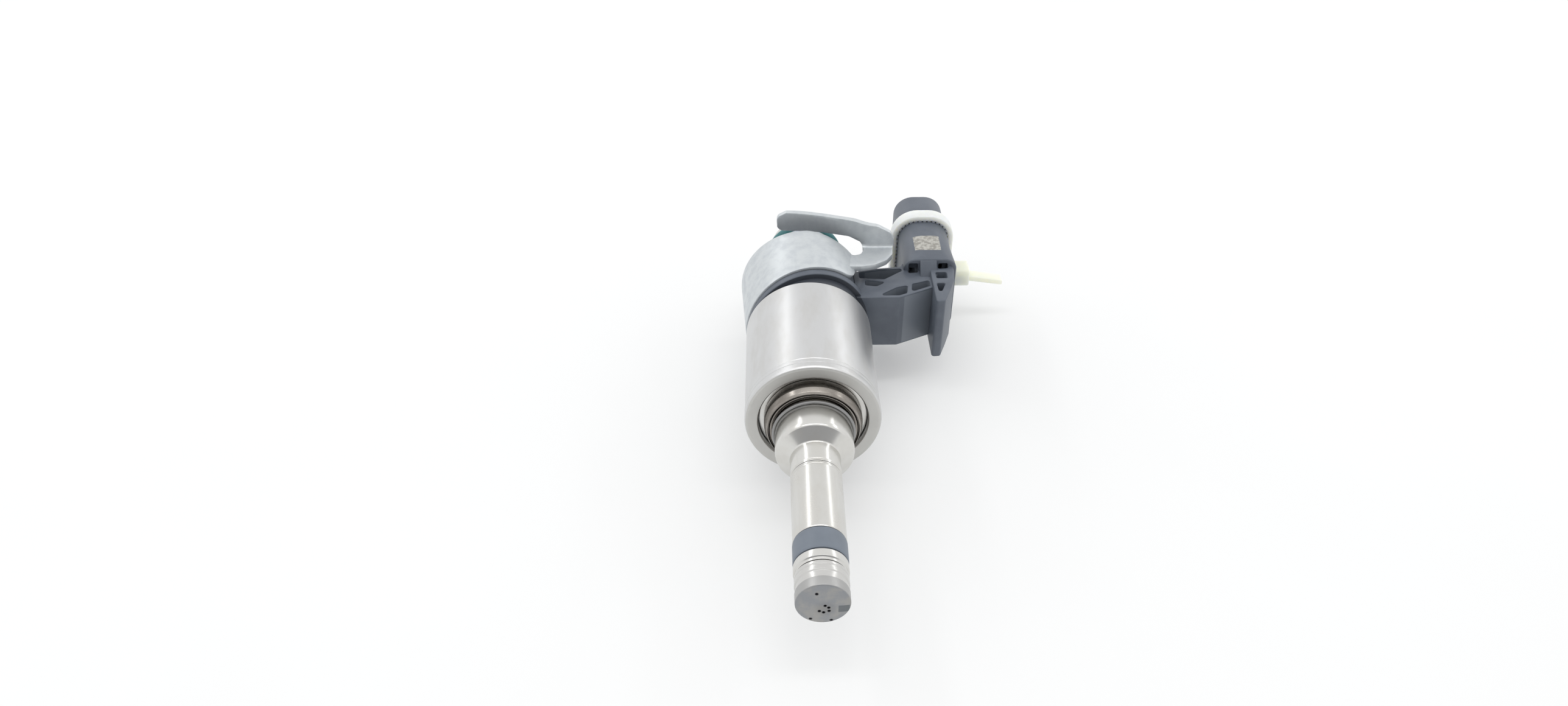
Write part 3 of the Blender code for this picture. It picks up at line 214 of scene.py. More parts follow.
# %% Build the lathe tree
def lathe_tree():
    inputs = [
        ("Profile", "NodeSocketGeometry"),
        ("Facets", "NodeSocketInt"),
        ("Finish", "NodeSocketMaterial"),
    ]
    graph, (profile, facets, finish) = open_tree("lathe", "Turned", inputs)
    count = graph.node("GeometryNodeAttributeDomainSize", {"component": "MESH"}, {"Geometry": profile})
    rows = count + 1
    grid = graph.node("GeometryNodeMeshGrid", {}, {"Vertices X": facets + 1, "Vertices Y": rows})
    index = graph.node("GeometryNodeInputIndex")
    row = (index % rows) % count
    column = graph.node("ShaderNodeMath", {"operation": "FLOOR"}, {0: index / rows})
    place = graph.node(
        "GeometryNodeSampleIndex",
        {"data_type": "FLOAT_VECTOR", "domain": "POINT"},
        {"Geometry": profile, "Value": graph.node("GeometryNodeInputPosition"), "Index": row},
    )
    radius = graph.node("ShaderNodeSeparateXYZ", {}, {0: place}, "X")
    along = graph.node("ShaderNodeSeparateXYZ", {}, {0: place}, "Y")
    angle = column * math.tau / facets
    across = radius * graph.node("ShaderNodeMath", {"operation": "COSINE"}, {0: angle})
    up = radius * graph.node("ShaderNodeMath", {"operation": "SINE"}, {0: angle})
    point = graph.node("ShaderNodeCombineXYZ", {}, {"X": across, "Y": along, "Z": up})
    wrapped = graph.node("GeometryNodeSetPosition", {}, {"Geometry": grid, "Position": point})
    closed = graph.node("GeometryNodeMergeByDistance", {}, {"Geometry": wrapped, "Distance": 1e-6})
    return close_tree(graph, "Turned", closed, finish)


LATHE = lathe_tree()

# %% [markdown]
# ## Rounded corners
# Hardly any real edge is sharp, and a small radius catches the light. This helper rounds the
# corners of a closed outline. A point may carry its own radius as a third number.

# %% Round the corners of an outline
NEARLY_STRAIGHT = math.radians(176)
LARGEST_SHARE = 0.46


def rounded(outline, radius, steps=3):
    """The outline with each corner as an arc. An arc never takes more than a share of a side."""
    points = [Vector(point[:2]) for point in outline]
    radii = [point[2] if len(point) > 2 else radius for point in outline]
    made = []
    for i, corner in enumerate(points):
        before = points[i - 1] - corner
        after = points[(i + 1) % len(points)] - corner
        opening = before.angle(after)
        if radii[i] == 0 or opening > NEARLY_STRAIGHT:
            made.append(tuple(corner))
            continue
        longest = LARGEST_SHARE * min(before.length, after.length)
        reach = min(radii[i] / math.tan(opening / 2), longest)
        real = reach * math.tan(opening / 2)
        inwards = (before.normalized() + after.normalized()).normalized()
        middle = corner + inwards * real / math.sin(opening / 2)
        start = corner + before.normalized() * reach - middle
        end = corner + after.normalized() * reach - middle
        turn = start.angle_signed(end)
        for step in range(steps + 1):
            spoke = start.copy()
            spoke.rotate(Matrix.Rotation(-turn * step / steps, 2))
            made.append(tuple(middle + spoke))
    return made


corner_points = len(rounded([(0, 0), (4, 0), (4, 4), (0, 4)], 1))
print("a square with rounded corners has", corner_points, "points")

# %% [markdown]
# ## From modifiers to finished pieces
# What a modifier makes is turned into a plain mesh, and the modifier goes with its object. A
# finished piece then gets one finish, smooth shading with its real edges kept sharp and the body that
# it rides on, and the CAD node that it stands for is hidden.

# %% Small helpers for finished meshes
SHARP_ANGLE = math.radians(24)
MERGE_DISTANCE = 1e-7


def plain_mesh(holder):
    """The mesh that an object's modifiers give. The object itself is removed."""
    graph = bpy.context.evaluated_depsgraph_get()
    mesh = bpy.data.meshes.new_from_object(holder.evaluated_get(graph), depsgraph=graph)
    bpy.data.objects.remove(holder)
    return mesh


def run_tree(tree, start=None, **inputs):
    """The mesh that a tree makes from a start mesh with these inputs."""
    holder = bpy.data.objects.new("holder", start or bpy.data.meshes.new("holder"))
    bpy.context.scene.collection.objects.link(holder)
    modifier = holder.modifiers.new(tree.name, "NODES")
    modifier.node_group = tree
    for item in tree.interface.items_tree:
        if item.in_out == "INPUT" and item.name in inputs:
            modifier[item.identifier] = inputs[item.name]
    return plain_mesh(holder)


def face_outwards(mesh):
    """Merge doubles, drop faces without area and turn all normals outwards."""
    work = bmesh.new()
    work.from_mesh(mesh)
    bmesh.ops.remove_doubles(work, verts=work.verts, dist=MERGE_DISTANCE)
    bmesh.ops.dissolve_degenerate(work, edges=work.edges, dist=MERGE_DISTANCE)
    bmesh.ops.recalc_face_normals(work, faces=work.faces)
    work.to_mesh(mesh)
    work.free()


def piece(name, mesh, finish, body, node):
    """A finished piece: it rides on a body and stands for a CAD node."""
    mesh.name = name
    mesh.materials.clear()
    mesh.materials.append(finish)
    mesh.polygons.foreach_set("material_index", [0] * len(mesh.polygons))
    mesh.shade_smooth()
    mesh.set_sharp_from_angle(angle=SHARP_ANGLE)
    obj = bpy.data.objects.new(name, mesh)
    bpy.context.scene.collection.objects.link(obj)
    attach(obj, body)
    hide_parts(node)
    print(f"{name}: {len(mesh.polygons)} faces on {body}")


SLOT_OF = {row["node"]: row["material_slot"] for row in frame["record"]["subparts"]}

# %% [markdown]
# A turned piece starts as a closed profile. Its corners are rounded, its points become a line of
# edges, and the lathe tree turns that line in enough facets for a round silhouette.

# %% Turn a profile
def turned_mesh(profile, edge, facets=144, steps=3):
    """A closed profile of (radius, y) points in millimetres, turned round the Y axis."""
    ring = rounded(profile, edge, steps)
    line = bpy.data.meshes.new("profile")
    points = [(radius * MM, along * MM, 0.0) for radius, along in ring]
    line.from_pydata(points, [(i, i + 1) for i in range(len(ring) - 1)], [])
    made = run_tree(LATHE, line, Facets=facets)
    face_outwards(made)
    return made


# %% [markdown]
# ## Plates
# The plastic ribs, the clip's tab and the cable tie are flat outlines with a thickness. Moving the
# outline in by the width of the rounded edge gives the rim rings, and the two caps are filled
# round their holes. Outlines with holes in them need no cutting this way, so all rims stay clean.

# %% Build a plate with rounded rims
def facing(outline, anticlockwise):
    area = sum(a[0] * b[1] - b[0] * a[1] for a, b in zip(outline, outline[1:] + outline[:1]))
    return list(outline) if (area > 0) == anticlockwise else list(reversed(outline))


def moved_in(outline, distance):
    """The outline moved to its left side: inwards if it runs anticlockwise, else outwards."""
    made = []
    for i, here in enumerate(outline):
        here = Vector(here)
        one = (here - Vector(outline[i - 1])).normalized()
        two = (Vector(outline[(i + 1) % len(outline)]) - here).normalized()
        side_one, side_two = Vector((-one.y, one.x)), Vector((-two.y, two.x))
        middle = (side_one + side_two).normalized()
        made.append(tuple(here + middle * distance / max(middle.dot(side_one), 0.4)))
    return made


def plate_mesh(outlines, low, high, edge, along="Z", steps=2):
    """Outlines in millimetres, from low to high along one axis. All but the first are holes."""
    loops = [facing(outline, i == 0) for i, outline in enumerate(outlines)]
    levels = []
    for step in range(steps + 1):
        angle = math.pi / 2 * step / steps
        levels.append((edge * (1 - math.sin(angle)), edge * (1 - math.cos(angle))))
    heights = [(inset, low + rise) for inset, rise in levels]
    heights += [(inset, high - rise) for inset, rise in reversed(levels)]
    work = bmesh.new()
    caps = []
    rings = [[] for _ in loops]
    for number, (inset, height) in enumerate(heights):
        flat = []
        for ring, loop in zip(rings, loops):
            row = []
            for u, v in moved_in(loop, inset):
                place = {"X": (height, u, v), "Y": (u, height, v), "Z": (u, v, height)}[along]
                row.append(work.verts.new(Vector(place) * MM))
            ring.append(row)
            flat.append(row)
        if number in (0, len(heights) - 1):
            caps.append(flat)
    for ring in rings:
        for lower, upper in zip(ring, ring[1:]):
            for i in range(len(lower)):
                j = (i + 1) % len(lower)
                work.faces.new((lower[i], lower[j], upper[j], upper[i]))
    for flat in caps:
        corners = [corner for row in flat for corner in row]
        shape = [[corner.co for corner in row] for row in flat]
        for triangle in tessellate_polygon(shape):
            if len({corners[i] for i in triangle}) == 3:
                work.faces.new([corners[i] for i in triangle])
    bmesh.ops.recalc_face_normals(work, faces=work.faces)
    mesh = bpy.data.meshes.new("plate")
    work.to_mesh(mesh)
    work.free()
    return mesh


def joined(*meshes):
    """One mesh with all these meshes in it."""
    work = bmesh.new()
    for mesh in meshes:
        work.from_mesh(mesh)
    made = bpy.data.meshes.new("joined")
    work.to_mesh(made)
    work.free()
    return made


def below(mesh):
    """The same shape on the other side of the injector's middle plane."""
    copy = mesh.copy()
    copy.transform(Matrix.Scale(-1, 4, (0, 0, 1)))
    copy.flip_normals()
    return copy


def box_outline(x, z, width, height, corner, steps):
    left, right = x - width / 2, x + width / 2
    lower, upper = z - height / 2, z + height / 2
    square = [(left, lower), (right, lower), (right, upper), (left, upper)]
    return rounded(square, corner, steps)


def cut(mesh, *cutters):
    """The mesh with other closed meshes taken out of it."""
    holder = bpy.data.objects.new("cut", mesh)
    bpy.context.scene.collection.objects.link(holder)
    tools = []
    for cutter in cutters:
        tool = bpy.data.objects.new("cutter", cutter)
        bpy.context.scene.collection.objects.link(tool)
        tools.append(tool)
        modifier = holder.modifiers.new("cut", "BOOLEAN")
        modifier.operation = "DIFFERENCE"
        modifier.solver = "EXACT"
        modifier.object = tool
    made = plain_mesh(holder)
    for tool in tools:
        bpy.data.objects.remove(tool)
    return made


# %% [markdown]
# ## Finishes
# Each finish is a Principled shader. Numbers that are the same all over are set on the shader, and
# only colour, roughness and the bump vary. Patterns read Object coordinates in millimetres, which
# are the injector's own coordinates, because every piece has its place in its mesh.

# %% A finish with its shader and its coordinates
class Finish(Graph):
    def __init__(self, name, **constants):
        self.material = bpy.data.materials.new(name)
        self.material.use_nodes = True
        super().__init__(self.material.node_tree)
        self.tree.nodes.clear()
        self.shader = self.tree.nodes.new("ShaderNodeBsdfPrincipled")
        end = self.tree.nodes.new("ShaderNodeOutputMaterial")
        self.tree.links.new(self.shader.outputs[0], end.inputs[0])
        for socket, value in constants.items():
            self.shader.inputs[socket.replace("_", " ")].default_value = value
        place = self.node("ShaderNodeTexCoord", {}, {}, "Object")
        sockets = {0: place, "Scale": 1 / MM}
        self.place = self.node("ShaderNodeVectorMath", {"operation": "SCALE"}, sockets)

    def axis(self, letter):
        return self.node("ShaderNodeSeparateXYZ", {}, {0: self.place}, letter)

    def stretched(self, x, y, z):
        sockets = {0: self.place, 1: (x, y, z)}
        return self.node("ShaderNodeVectorMath", {"operation": "MULTIPLY"}, sockets)

    def distance(self, x, y, z):
        """How far a point of the surface is from a place."""
        sockets = {0: self.place, 1: (x, y, z)}
        return self.node("ShaderNodeVectorMath", {"operation": "DISTANCE"}, sockets, "Value")

    def noise(self, scale, detail=3.0, rough=0.55, vector=None):
        sockets = {"Vector": vector or self.place, "Scale": scale, "Detail": detail, "Roughness": rough}
        return self.node("ShaderNodeTexNoise", {}, sockets, "Fac")

    def grooves(self, where, per_mm):
        """A value that changes only along one direction, as the marks of a cutting tool do."""
        sockets = {"W": where * per_mm, "Scale": 1.0, "Detail": 4.0, "Roughness": 0.7}
        return self.node("ShaderNodeTexNoise", {"noise_dimensions": "1D"}, sockets, "Fac")

    def between(self, letter, low, high, soft=0.05):
        """1 between two places along an axis, 0 outside."""
        where = self.axis(letter)
        rising = self.limited(where, low - soft, low + soft)
        return rising * (1 - self.limited(where, high - soft, high + soft))

    def bump(self, height, strength, distance):
        sockets = {"Height": height, "Strength": strength, "Distance": distance * MM}
        normal = self.node("ShaderNodeBump", {}, sockets)
        self.paint("Normal", normal)

    def paint(self, socket, value):
        self.tree.links.new(value.socket, self.shader.inputs[socket])


# %% [markdown]
# ### Turned stainless steel
# The tool leaves fine rings round the axis. The groove pattern reads y plus the distance from the
# axis, so that the rings run round a cylinder and are circles on an end face. Faint handling marks
# change the roughness. The housing's rim face is ground, so it is more matt, and it is painted a
# little darker as a painted reflection of the dimmer room in front of it.

# %% Make the steel finishes
def radius_of(finish):
    flat = finish.stretched(1, 0, 1)
    return finish.node("ShaderNodeVectorMath", {"operation": "LENGTH"}, {0: flat}, "Value")


def turned_steel(name, colour, roughness, ground=None):
    """Bright turned steel. ground is (lowest y, highest y, colour) of a stretch that is ground and
    painted darker.
    """
    steel = Finish(name, Metallic=1.0)
    rings = steel.grooves(steel.axis("Y") + radius_of(steel), 9.0)
    smudge = steel.noise(0.35, 4.0, vector=steel.stretched(1, 0.35, 1))
    darker = tuple(a * b for a, b in zip(colour, (0.93, 0.92, 0.90)))
    shade = steel.limited(smudge, 0.40, 0.66)
    metal = steel.blend(shade * 0.7 + rings * 0.3, colour, darker)
    rough = roughness + rings * 0.05 + steel.limited(smudge, 0.45, 0.7) * 0.06
    if ground:
        low, high, dimmed_face_colour = ground
        # The ground stretch is painted darker: ground finish, and partly a painted reflection.
        mask = steel.between("Y", low, high, 0.03)
        metal = steel.blend(mask, metal, dimmed_face_colour)
        rough = rough + mask * 0.10
    steel.paint("Base Color", metal)
    steel.paint("Roughness", rough)
    steel.bump(rings, 0.35, 0.0012)
    return steel.material


steel = turned_steel("turned steel", (0.66, 0.655, 0.635), 0.20)
# The rim face is ground and painted a little darker: a painted reflection of the dim room in front.
rim_face = (RIM_Y - 1.0, RIM_Y + 0.12, (0.57, 0.565, 0.545))
housing_steel = turned_steel("housing steel", (0.625, 0.63, 0.635), 0.35, rim_face)
neck_steel = turned_steel("valve body steel", (0.68, 0.675, 0.655), 0.16)
wire_steel = turned_steel("dark wire steel", (0.30, 0.30, 0.30), 0.30)
hard_iron = turned_steel("core iron", (0.46, 0.46, 0.47), 0.38)
print("steel finishes ready")

# %% [markdown]
# ### The tip's steel
# The end face is ground matt, painted darker as a painted reflection of the dimmer room in front
# of it, and slightly stained round the spray holes. Each hole and centring mark is painted dark
# inside, as painted shade. A small square is etched darker near its edge. Behind the face the first
# band is matt and the rest is bright.

# %% Make the tip finish
ETCHED_X = (2.05, 3.55)
ETCHED_Z = (-1.45, -0.15)
SPRAY_HOLES = [(0.28, -0.12), (0.76, -0.50), (0.82, -1.14), (0.10, -1.42), (-0.46, -1.16)]
CENTRE_MARKS = [(-0.86, 2.13), (-1.60, -2.80), (1.17, -3.10)]


def tip_finish():
    tip = Finish("tip steel", Metallic=1.0)
    face = 1 - tip.limited(tip.axis("Y"), 0.20, 0.34)
    matt_band = 1 - tip.limited(tip.axis("Y"), 1.75, 1.95)
    x, z = tip.axis("X"), tip.axis("Z")
    stain = tip.limited(tip.noise(0.45, 3.0), 0.38, 0.66)
    ring_stain = (1 - tip.limited(tip.distance(0.3, 0.0, -0.7), 0.5, 1.9)) * face
    square = (x > ETCHED_X[0]) * (x < ETCHED_X[1]) * (z > ETCHED_Z[0]) * (z < ETCHED_Z[1]) * face
    lines = tip.grooves(tip.axis("Y"), 7.0) * 0.5
    bright = tip.blend(lines, (0.62, 0.615, 0.60), (0.54, 0.535, 0.52))
    band = tip.blend(matt_band, bright, (0.42, 0.42, 0.415))
    # The end face is painted darker than the bright steel: ground matt, and a painted reflection of the
    # dim room in front.
    ground = tip.blend(stain, (0.315, 0.325, 0.34), (0.375, 0.37, 0.36))
    washed = tip.blend(face, band, ground)
    stained = tip.blend(ring_stain * 0.35, washed, (0.20, 0.20, 0.20))
    etched = tip.blend(square * 0.85, stained, (0.16, 0.175, 0.185))
    # Each hole and mark is painted dark inside, fading out just past its mouth: painted shade.
    painted_shade = 0.0
    for hole_x, hole_z in SPRAY_HOLES + CENTRE_MARKS:
        painted_shade = (1 - tip.limited(tip.distance(hole_x, 0.1, hole_z), 0.16, 0.34)) + painted_shade
    tip.paint("Base Color", tip.blend(tip.limited(painted_shade, 0.0, 1.0), etched, (0.05, 0.05, 0.055)))
    tip.paint("Roughness", 0.26 + matt_band * 0.16 + face * 0.12)
    grit = tip.noise(14.0, 2.0) * matt_band
    tip.bump(grit + tip.grooves(tip.axis("Y"), 9.0) * (1 - matt_band), 0.3, 0.004)
    return tip.material


tip_steel = tip_finish()
print("holes with soot round them:", len(SPRAY_HOLES) + len(CENTRE_MARKS))

# %% [markdown]
# ### Bronze and zinc
# The decoupling ring is heat-tinted brown, in patches, with fine turned rings that are painted
# lighter, partly as painted highlights, and its groove is painted dark as painted shade. The clip is
# zinc plated: pale, bluish and slightly cloudy, with darker scuffs. Noise that is stretched along
# one direction gives the bronze its patches and the zinc its scuffs.

# %% Make the remaining metal finishes
def bronze_finish():
    bronze = Finish("tinted bronze", Metallic=1.0)
    tint = bronze.limited(bronze.noise(0.5, 4.0, vector=bronze.stretched(1, 2.5, 1)), 0.35, 0.65)
    rings = bronze.grooves(radius_of(bronze) + bronze.axis("Y"), 6.0)
    warm = bronze.blend(tint, (0.30, 0.278, 0.255), (0.22, 0.20, 0.18))
    # The turned rings are painted lighter: real rings, and partly painted highlight lines.
    rings_and_highlights = bronze.blend(rings * 0.35, warm, (0.42, 0.395, 0.365))
    radius = radius_of(bronze)
    # The groove is painted dark: painted shade in the recess.
    groove = (radius > BODY_R + 0.78) * (radius < BODY_R + 1.08)
    bronze.paint("Base Color", bronze.blend(groove, rings_and_highlights, (0.13, 0.12, 0.11)))
    bronze.paint("Roughness", 0.20 + tint * 0.12)
    bronze.bump(rings, 0.4, 0.003)
    return bronze.material


def zinc_finish():
    zinc = Finish("zinc plate", Metallic=0.65)
    cloud = zinc.limited(zinc.noise(0.55, 5.0, 0.6), 0.35, 0.7)
    fine = zinc.noise(6.0, 3.0)
    scuff = zinc.limited(zinc.noise(1.6, 6.0, 0.75, zinc.stretched(0.5, 1.8, 0.5)), 0.66, 0.74)
    base = zinc.blend(cloud, (0.60, 0.63, 0.645), (0.53, 0.56, 0.585))
    zinc.paint("Base Color", zinc.blend(scuff * 0.5, base, (0.33, 0.36, 0.40)))
    zinc.paint("Roughness", 0.40 + cloud * 0.10 + fine * 0.08)
    zinc.bump(fine, 0.25, 0.006)
    return zinc.material


bronze = bronze_finish()
zinc = zinc_finish()
print("bronze and zinc ready")

# %% [markdown]
# ### Moulded nylon, PTFE and rubber
# The moulding has a fine spark-eroded grain and is worn lighter where it has been handled. It also
# has a pale speckled patch on the connector, painted light that makes the floors of its pockets
# paler, and painted shade that makes the groove under the clip dark; these are masks by place. The
# seal, the O-ring and the bobbin have the same grain without them, so one function makes all four.

# %% Make the plastic and rubber finishes
PATCH_X, PATCH_Y, PATCH_Z = (19.6, 24.3), (75.3, 79.6), 7.0
# Where the pocket floors are painted paler: painted light that lifts the shade in the pockets.
POCKET_LIGHT_X, POCKET_LIGHT_Y, POCKET_LIGHT_Z = (10.4, 21.9), (HOUSING_TOP + 3.8, HOUSING_TOP + 14.3), 4.9
# Where the groove under the clip is painted dark: painted shade in the recess.
GROOVE_SHADE_R, GROOVE_SHADE_Y = 10.5, (HOUSING_TOP - 0.1, HOUSING_TOP + 5.0)


def moulded(name, colour, worn, roughness, grain=0.010, marks_and_painted_light=False):
    nylon = Finish(name, IOR=1.50)
    cloud = nylon.limited(nylon.noise(0.30, 4.0), 0.35, 0.70)
    pores = nylon.noise(9.0, 2.0)
    scratch = nylon.limited(nylon.noise(2.2, 6.0, 0.7, nylon.stretched(0.3, 1.4, 0.6)), 0.66, 0.73)
    base = nylon.blend(cloud * 0.6 + scratch * 0.4, colour, worn)
    rough = roughness + pores * 0.08 + cloud * 0.05
    # The patch is a real mark; the groove's painted shade and the pockets' painted light come with it.
    if marks_and_painted_light:
        height = nylon.axis("Z")
        patch = nylon.between("X", *PATCH_X) * nylon.between("Y", *PATCH_Y) * (height > PATCH_Z)
        speckle = nylon.limited(nylon.noise(1.7, 3.0, 0.5), 0.38, 0.62)
        etched = nylon.blend(speckle, (0.27, 0.26, 0.235), (0.46, 0.45, 0.415))
        # The groove under the clip is painted near black: painted shade in the recess.
        groove = (radius_of(nylon) < GROOVE_SHADE_R) * nylon.between("Y", *GROOVE_SHADE_Y)
        base = nylon.blend(groove, nylon.blend(patch, base, etched), (0.042, 0.049, 0.062))
        depth = nylon.node("ShaderNodeMath", {"operation": "ABSOLUTE"}, {0: height})
        # The pocket floors are painted paler than the moulding: painted light against the shade in the
        # pockets.
        pocket = nylon.between("X", *POCKET_LIGHT_X) * nylon.between("Y", *POCKET_LIGHT_Y) * (depth < POCKET_LIGHT_Z)
        base = nylon.blend(pocket, base, (0.165, 0.185, 0.215))
        rough = rough + patch * 0.15
    nylon.paint("Base Color", base)
    nylon.paint("Roughness", rough)
    nylon.bump(pores, 0.35, grain)
    return nylon.material


black_nylon = moulded("black nylon", (0.088, 0.103, 0.129), (0.122, 0.140, 0.169), 0.40, marks_and_painted_light=True)
bobbin_nylon = moulded("bobbin nylon", (0.30, 0.28, 0.23), (0.36, 0.34, 0.28), 0.5)
seal_ptfe = moulded("blue-grey PTFE", (0.145, 0.170, 0.205), (0.175, 0.203, 0.242), 0.42, 0.004)
teal_rubber = moulded("teal rubber", (0.045, 0.165, 0.175), (0.075, 0.210, 0.220), 0.38, 0.006)
print("grained finishes ready")

# %% [markdown]
# ### The cable tie's nylon
# Natural nylon lets light in, so the tie's colour comes mostly from light that has scattered inside
# it. Subsurface scattering gives that glow. The thick head and tail are a little yellower.

# %% Make the tie's finish
HEAD_BEGINS = (27.6, 28.4)


def tie_finish():
    tie = Finish("natural nylon", IOR=1.53, Subsurface_Weight=0.85, Subsurface_Scale=0.003)
    tie.shader.inputs["Subsurface Radius"].default_value = (1.0, 0.9, 0.6)
    cloud = tie.limited(tie.noise(0.5, 3.0), 0.35, 0.65)
    thick = tie.limited(tie.axis("X"), *HEAD_BEGINS)
    strap = tie.blend(cloud, (0.78, 0.80, 0.74), (0.82, 0.83, 0.78))
    tie.paint("Base Color", tie.blend(thick, strap, (0.82, 0.84, 0.70)))
    tie.paint("Roughness", 0.38 + tie.noise(5.0, 2.0) * 0.12)
    tie.bump(tie.noise(3.0, 2.0), 0.2, 0.01)
    return tie.material


natural_nylon = tie_finish()
print("tie finish ready")

# %% [markdown]
# ### Drawn wire and plain metals
# Drawing leaves long fine lines on a wire. The return spring, the winding, the terminals and the
# filter only differ in colour and gloss, so one function makes their finishes.

# %% Make the wire finishes
def wire_finish(name, colour, roughness):
    wire = Finish(name, Metallic=1.0)
    drawn = wire.grooves(wire.axis("X") + wire.axis("Z"), 8.0)
    wire.paint("Base Color", wire.blend(drawn * 0.5, colour, tuple(c * 0.8 for c in colour)))
    wire.paint("Roughness", roughness + drawn * 0.08)
    wire.bump(drawn, 0.2, 0.002)
    return wire.material


spring_steel = wire_finish("drawn spring steel", (0.60, 0.60, 0.61), 0.24)
copper = wire_finish("enamelled copper", (0.62, 0.28, 0.13), 0.30)
tin = wire_finish("tinned brass", (0.76, 0.75, 0.72), 0.24)
mesh_steel = wire_finish("filter steel", (0.52, 0.52, 0.49), 0.40)
print("finishes:", len(bpy.data.materials))

# %% [markdown]
# ## The nozzle tip
# The tip is a turned cup that is welded into the shank. Its end face is slightly domed, and five
# spray holes and three small centring marks are drilled into it. The holes are cut with small cones
# after the turning, so that their mouths are crisp. The etched square is only a change of finish.

# %% Turn and drill the tip
SEAT_TOP = SHANK_LOW - GAP
ABOVE_FACE = 0.05


def drill(x, z, radius, depth):
    """A closed drill point that enters the end face at (x, z), from a little above it."""
    work = bmesh.new()
    middle = Vector((x, depth / 2 - ABOVE_FACE, z)) * MM
    place = Matrix.Translation(middle) @ Matrix.Rotation(-math.pi / 2, 4, "X")
    bmesh.ops.create_cone(
        work,
        cap_ends=True,
        segments=20,
        radius1=radius * MM,
        radius2=radius * 0.35 * MM,
        depth=(depth + 2 * ABOVE_FACE) * MM,
        matrix=place,
    )
    bmesh.ops.recalc_face_normals(work, faces=work.faces)
    mesh = bpy.data.meshes.new("drill")
    work.to_mesh(mesh)
    work.free()
    return mesh


def make_tip():
    blank = turned_mesh(
        [
            (0.0, 0.0, 0),
            (1.5, 0.015, 0),
            (2.7, 0.07, 0),
            (TIP_R - 0.15, 0.18, 0.08),
            (TIP_R - 0.02, 0.30, 0.08),
            (TIP_R, 1.78),
            (TIP_R - 0.13, 1.90),
            (TIP_R - 0.13, 2.92),
            (TIP_R, 3.06),
            (TIP_R, 3.84),
            (TIP_R - 0.08, 3.92),
            (TIP_R - 0.08, 4.02),
            (TIP_R, 4.10),
            (TIP_R, SEAT_TOP - 0.22),
            (TIP_R - 0.20, SEAT_TOP),
            (3.0, SEAT_TOP),
            (3.0, SPIGOT_TOP),
            (2.0, SPIGOT_TOP),
            (2.0, 2.29),
            (0.75, 1.04),
            (0.75, 0.5),
            (0.0, 0.5, 0),
        ],
        edge=0.06,
    )
    drills = [drill(x, z, 0.22, 0.45) for x, z in SPRAY_HOLES]
    drills += [drill(x, z, 0.20, 0.28) for x, z in CENTRE_MARKS]
    print("drilled holes:", len(drills))
    piece("tip", cut(blank, *drills), tip_steel, "injector", "valve_seat")


make_tip()

# %% [markdown]
# ## The shank and its seal
# The thin shank carries a PTFE combustion seal in a groove, and it is hollow, because the needle
# runs inside it. A laser weld near its upper end leaves a shallow bead. Turning gives all of this
# from one profile.

# %% Turn the shank and the seal
NEEDLE_BORE_R = 2.6
WELD_Y = 23.50


def make_shank():
    bore = NEEDLE_BORE_R
    profile = [
        (bore, SHANK_LOW),
        (SHANK_R - 0.24, SHANK_LOW),
        (SHANK_R - 0.20, 5.20),
        (SHANK_R, 5.32),
        (SHANK_R, 6.50),
        (SHANK_R - 0.10, SEAL_LOW - 0.10),
        (3.30, SEAL_LOW - 0.10),
        (3.30, SEAL_HIGH + 0.10),
        (SHANK_R - 0.06, SEAL_HIGH + 0.10),
        (SHANK_R, SEAL_HIGH + 0.25),
        (SHANK_R, WELD_Y - 0.30),
        (SHANK_R - 0.05, WELD_Y - 0.18),
        (SHANK_R + 0.02, WELD_Y),
        (SHANK_R - 0.05, WELD_Y + 0.18),
        (SHANK_R, SHANK_HIGH),
        (bore, SHANK_HIGH),
    ]
    piece("shank", turned_mesh(profile, 0.05), steel, "injector", "nozzle_tube")
    seal = [
        (SEAL_R - 0.55, SEAL_LOW),
        (SEAL_R - 0.05, SEAL_LOW),
        (SEAL_R, SEAL_LOW + 0.35),
        (SEAL_R, SEAL_HIGH - 0.30),
        (SEAL_R - 0.06, SEAL_HIGH),
        (SEAL_R - 0.55, SEAL_HIGH),
    ]
    piece("seal", turned_mesh(seal, 0.08), seal_ptfe, "injector", "chamber_seal")


make_shank()

# %% [markdown]
# ## The valve body
# Close above the shank's weld a second bead runs round the valve body. The body then opens in a cone
# to the thick neck that stands in the magnet housing, with a narrow groove near the housing's mouth.
# It gets a finer rounding than the shank, because the lights draw lines along the cone's edges.

# %% Turn the valve body
SECOND_WELD_Y = 24.36
CONE_LOW, CONE_HIGH = 28.05, 29.34
NECK_GROOVE_LOW, NECK_GROOVE_HIGH = 34.0, 34.5


def make_valve_body():
    neck = SHANK_R
    profile = [
        (NEEDLE_BORE_R, BODY_LOW),
        (neck - 0.02, BODY_LOW),
        (neck + 0.02, SECOND_WELD_Y - 0.18),
        (neck - 0.06, SECOND_WELD_Y),
        (neck, SECOND_WELD_Y + 0.16),
        (neck, CONE_LOW, 0.35),
        (BODY_R - 0.10, CONE_HIGH, 0.55),
        (BODY_R, 29.95),
        (BODY_R, NECK_GROOVE_LOW - 0.1),
        (BODY_R - 0.20, NECK_GROOVE_LOW),
        (BODY_R - 0.20, NECK_GROOVE_HIGH),
        (BODY_R, NECK_GROOVE_HIGH + 0.1),
        (BODY_R, BODY_HIGH),
        (4.65, BODY_HIGH),
        (4.65, 30.6),
        (3.60, 30.6),
        (3.60, 28.55),
        (NEEDLE_BORE_R, 28.3),
    ]
    body = turned_mesh(profile, 0.05, steps=5)
    piece("valve_body_turned", body, neck_steel, "injector", "valve_body")


make_valve_body()

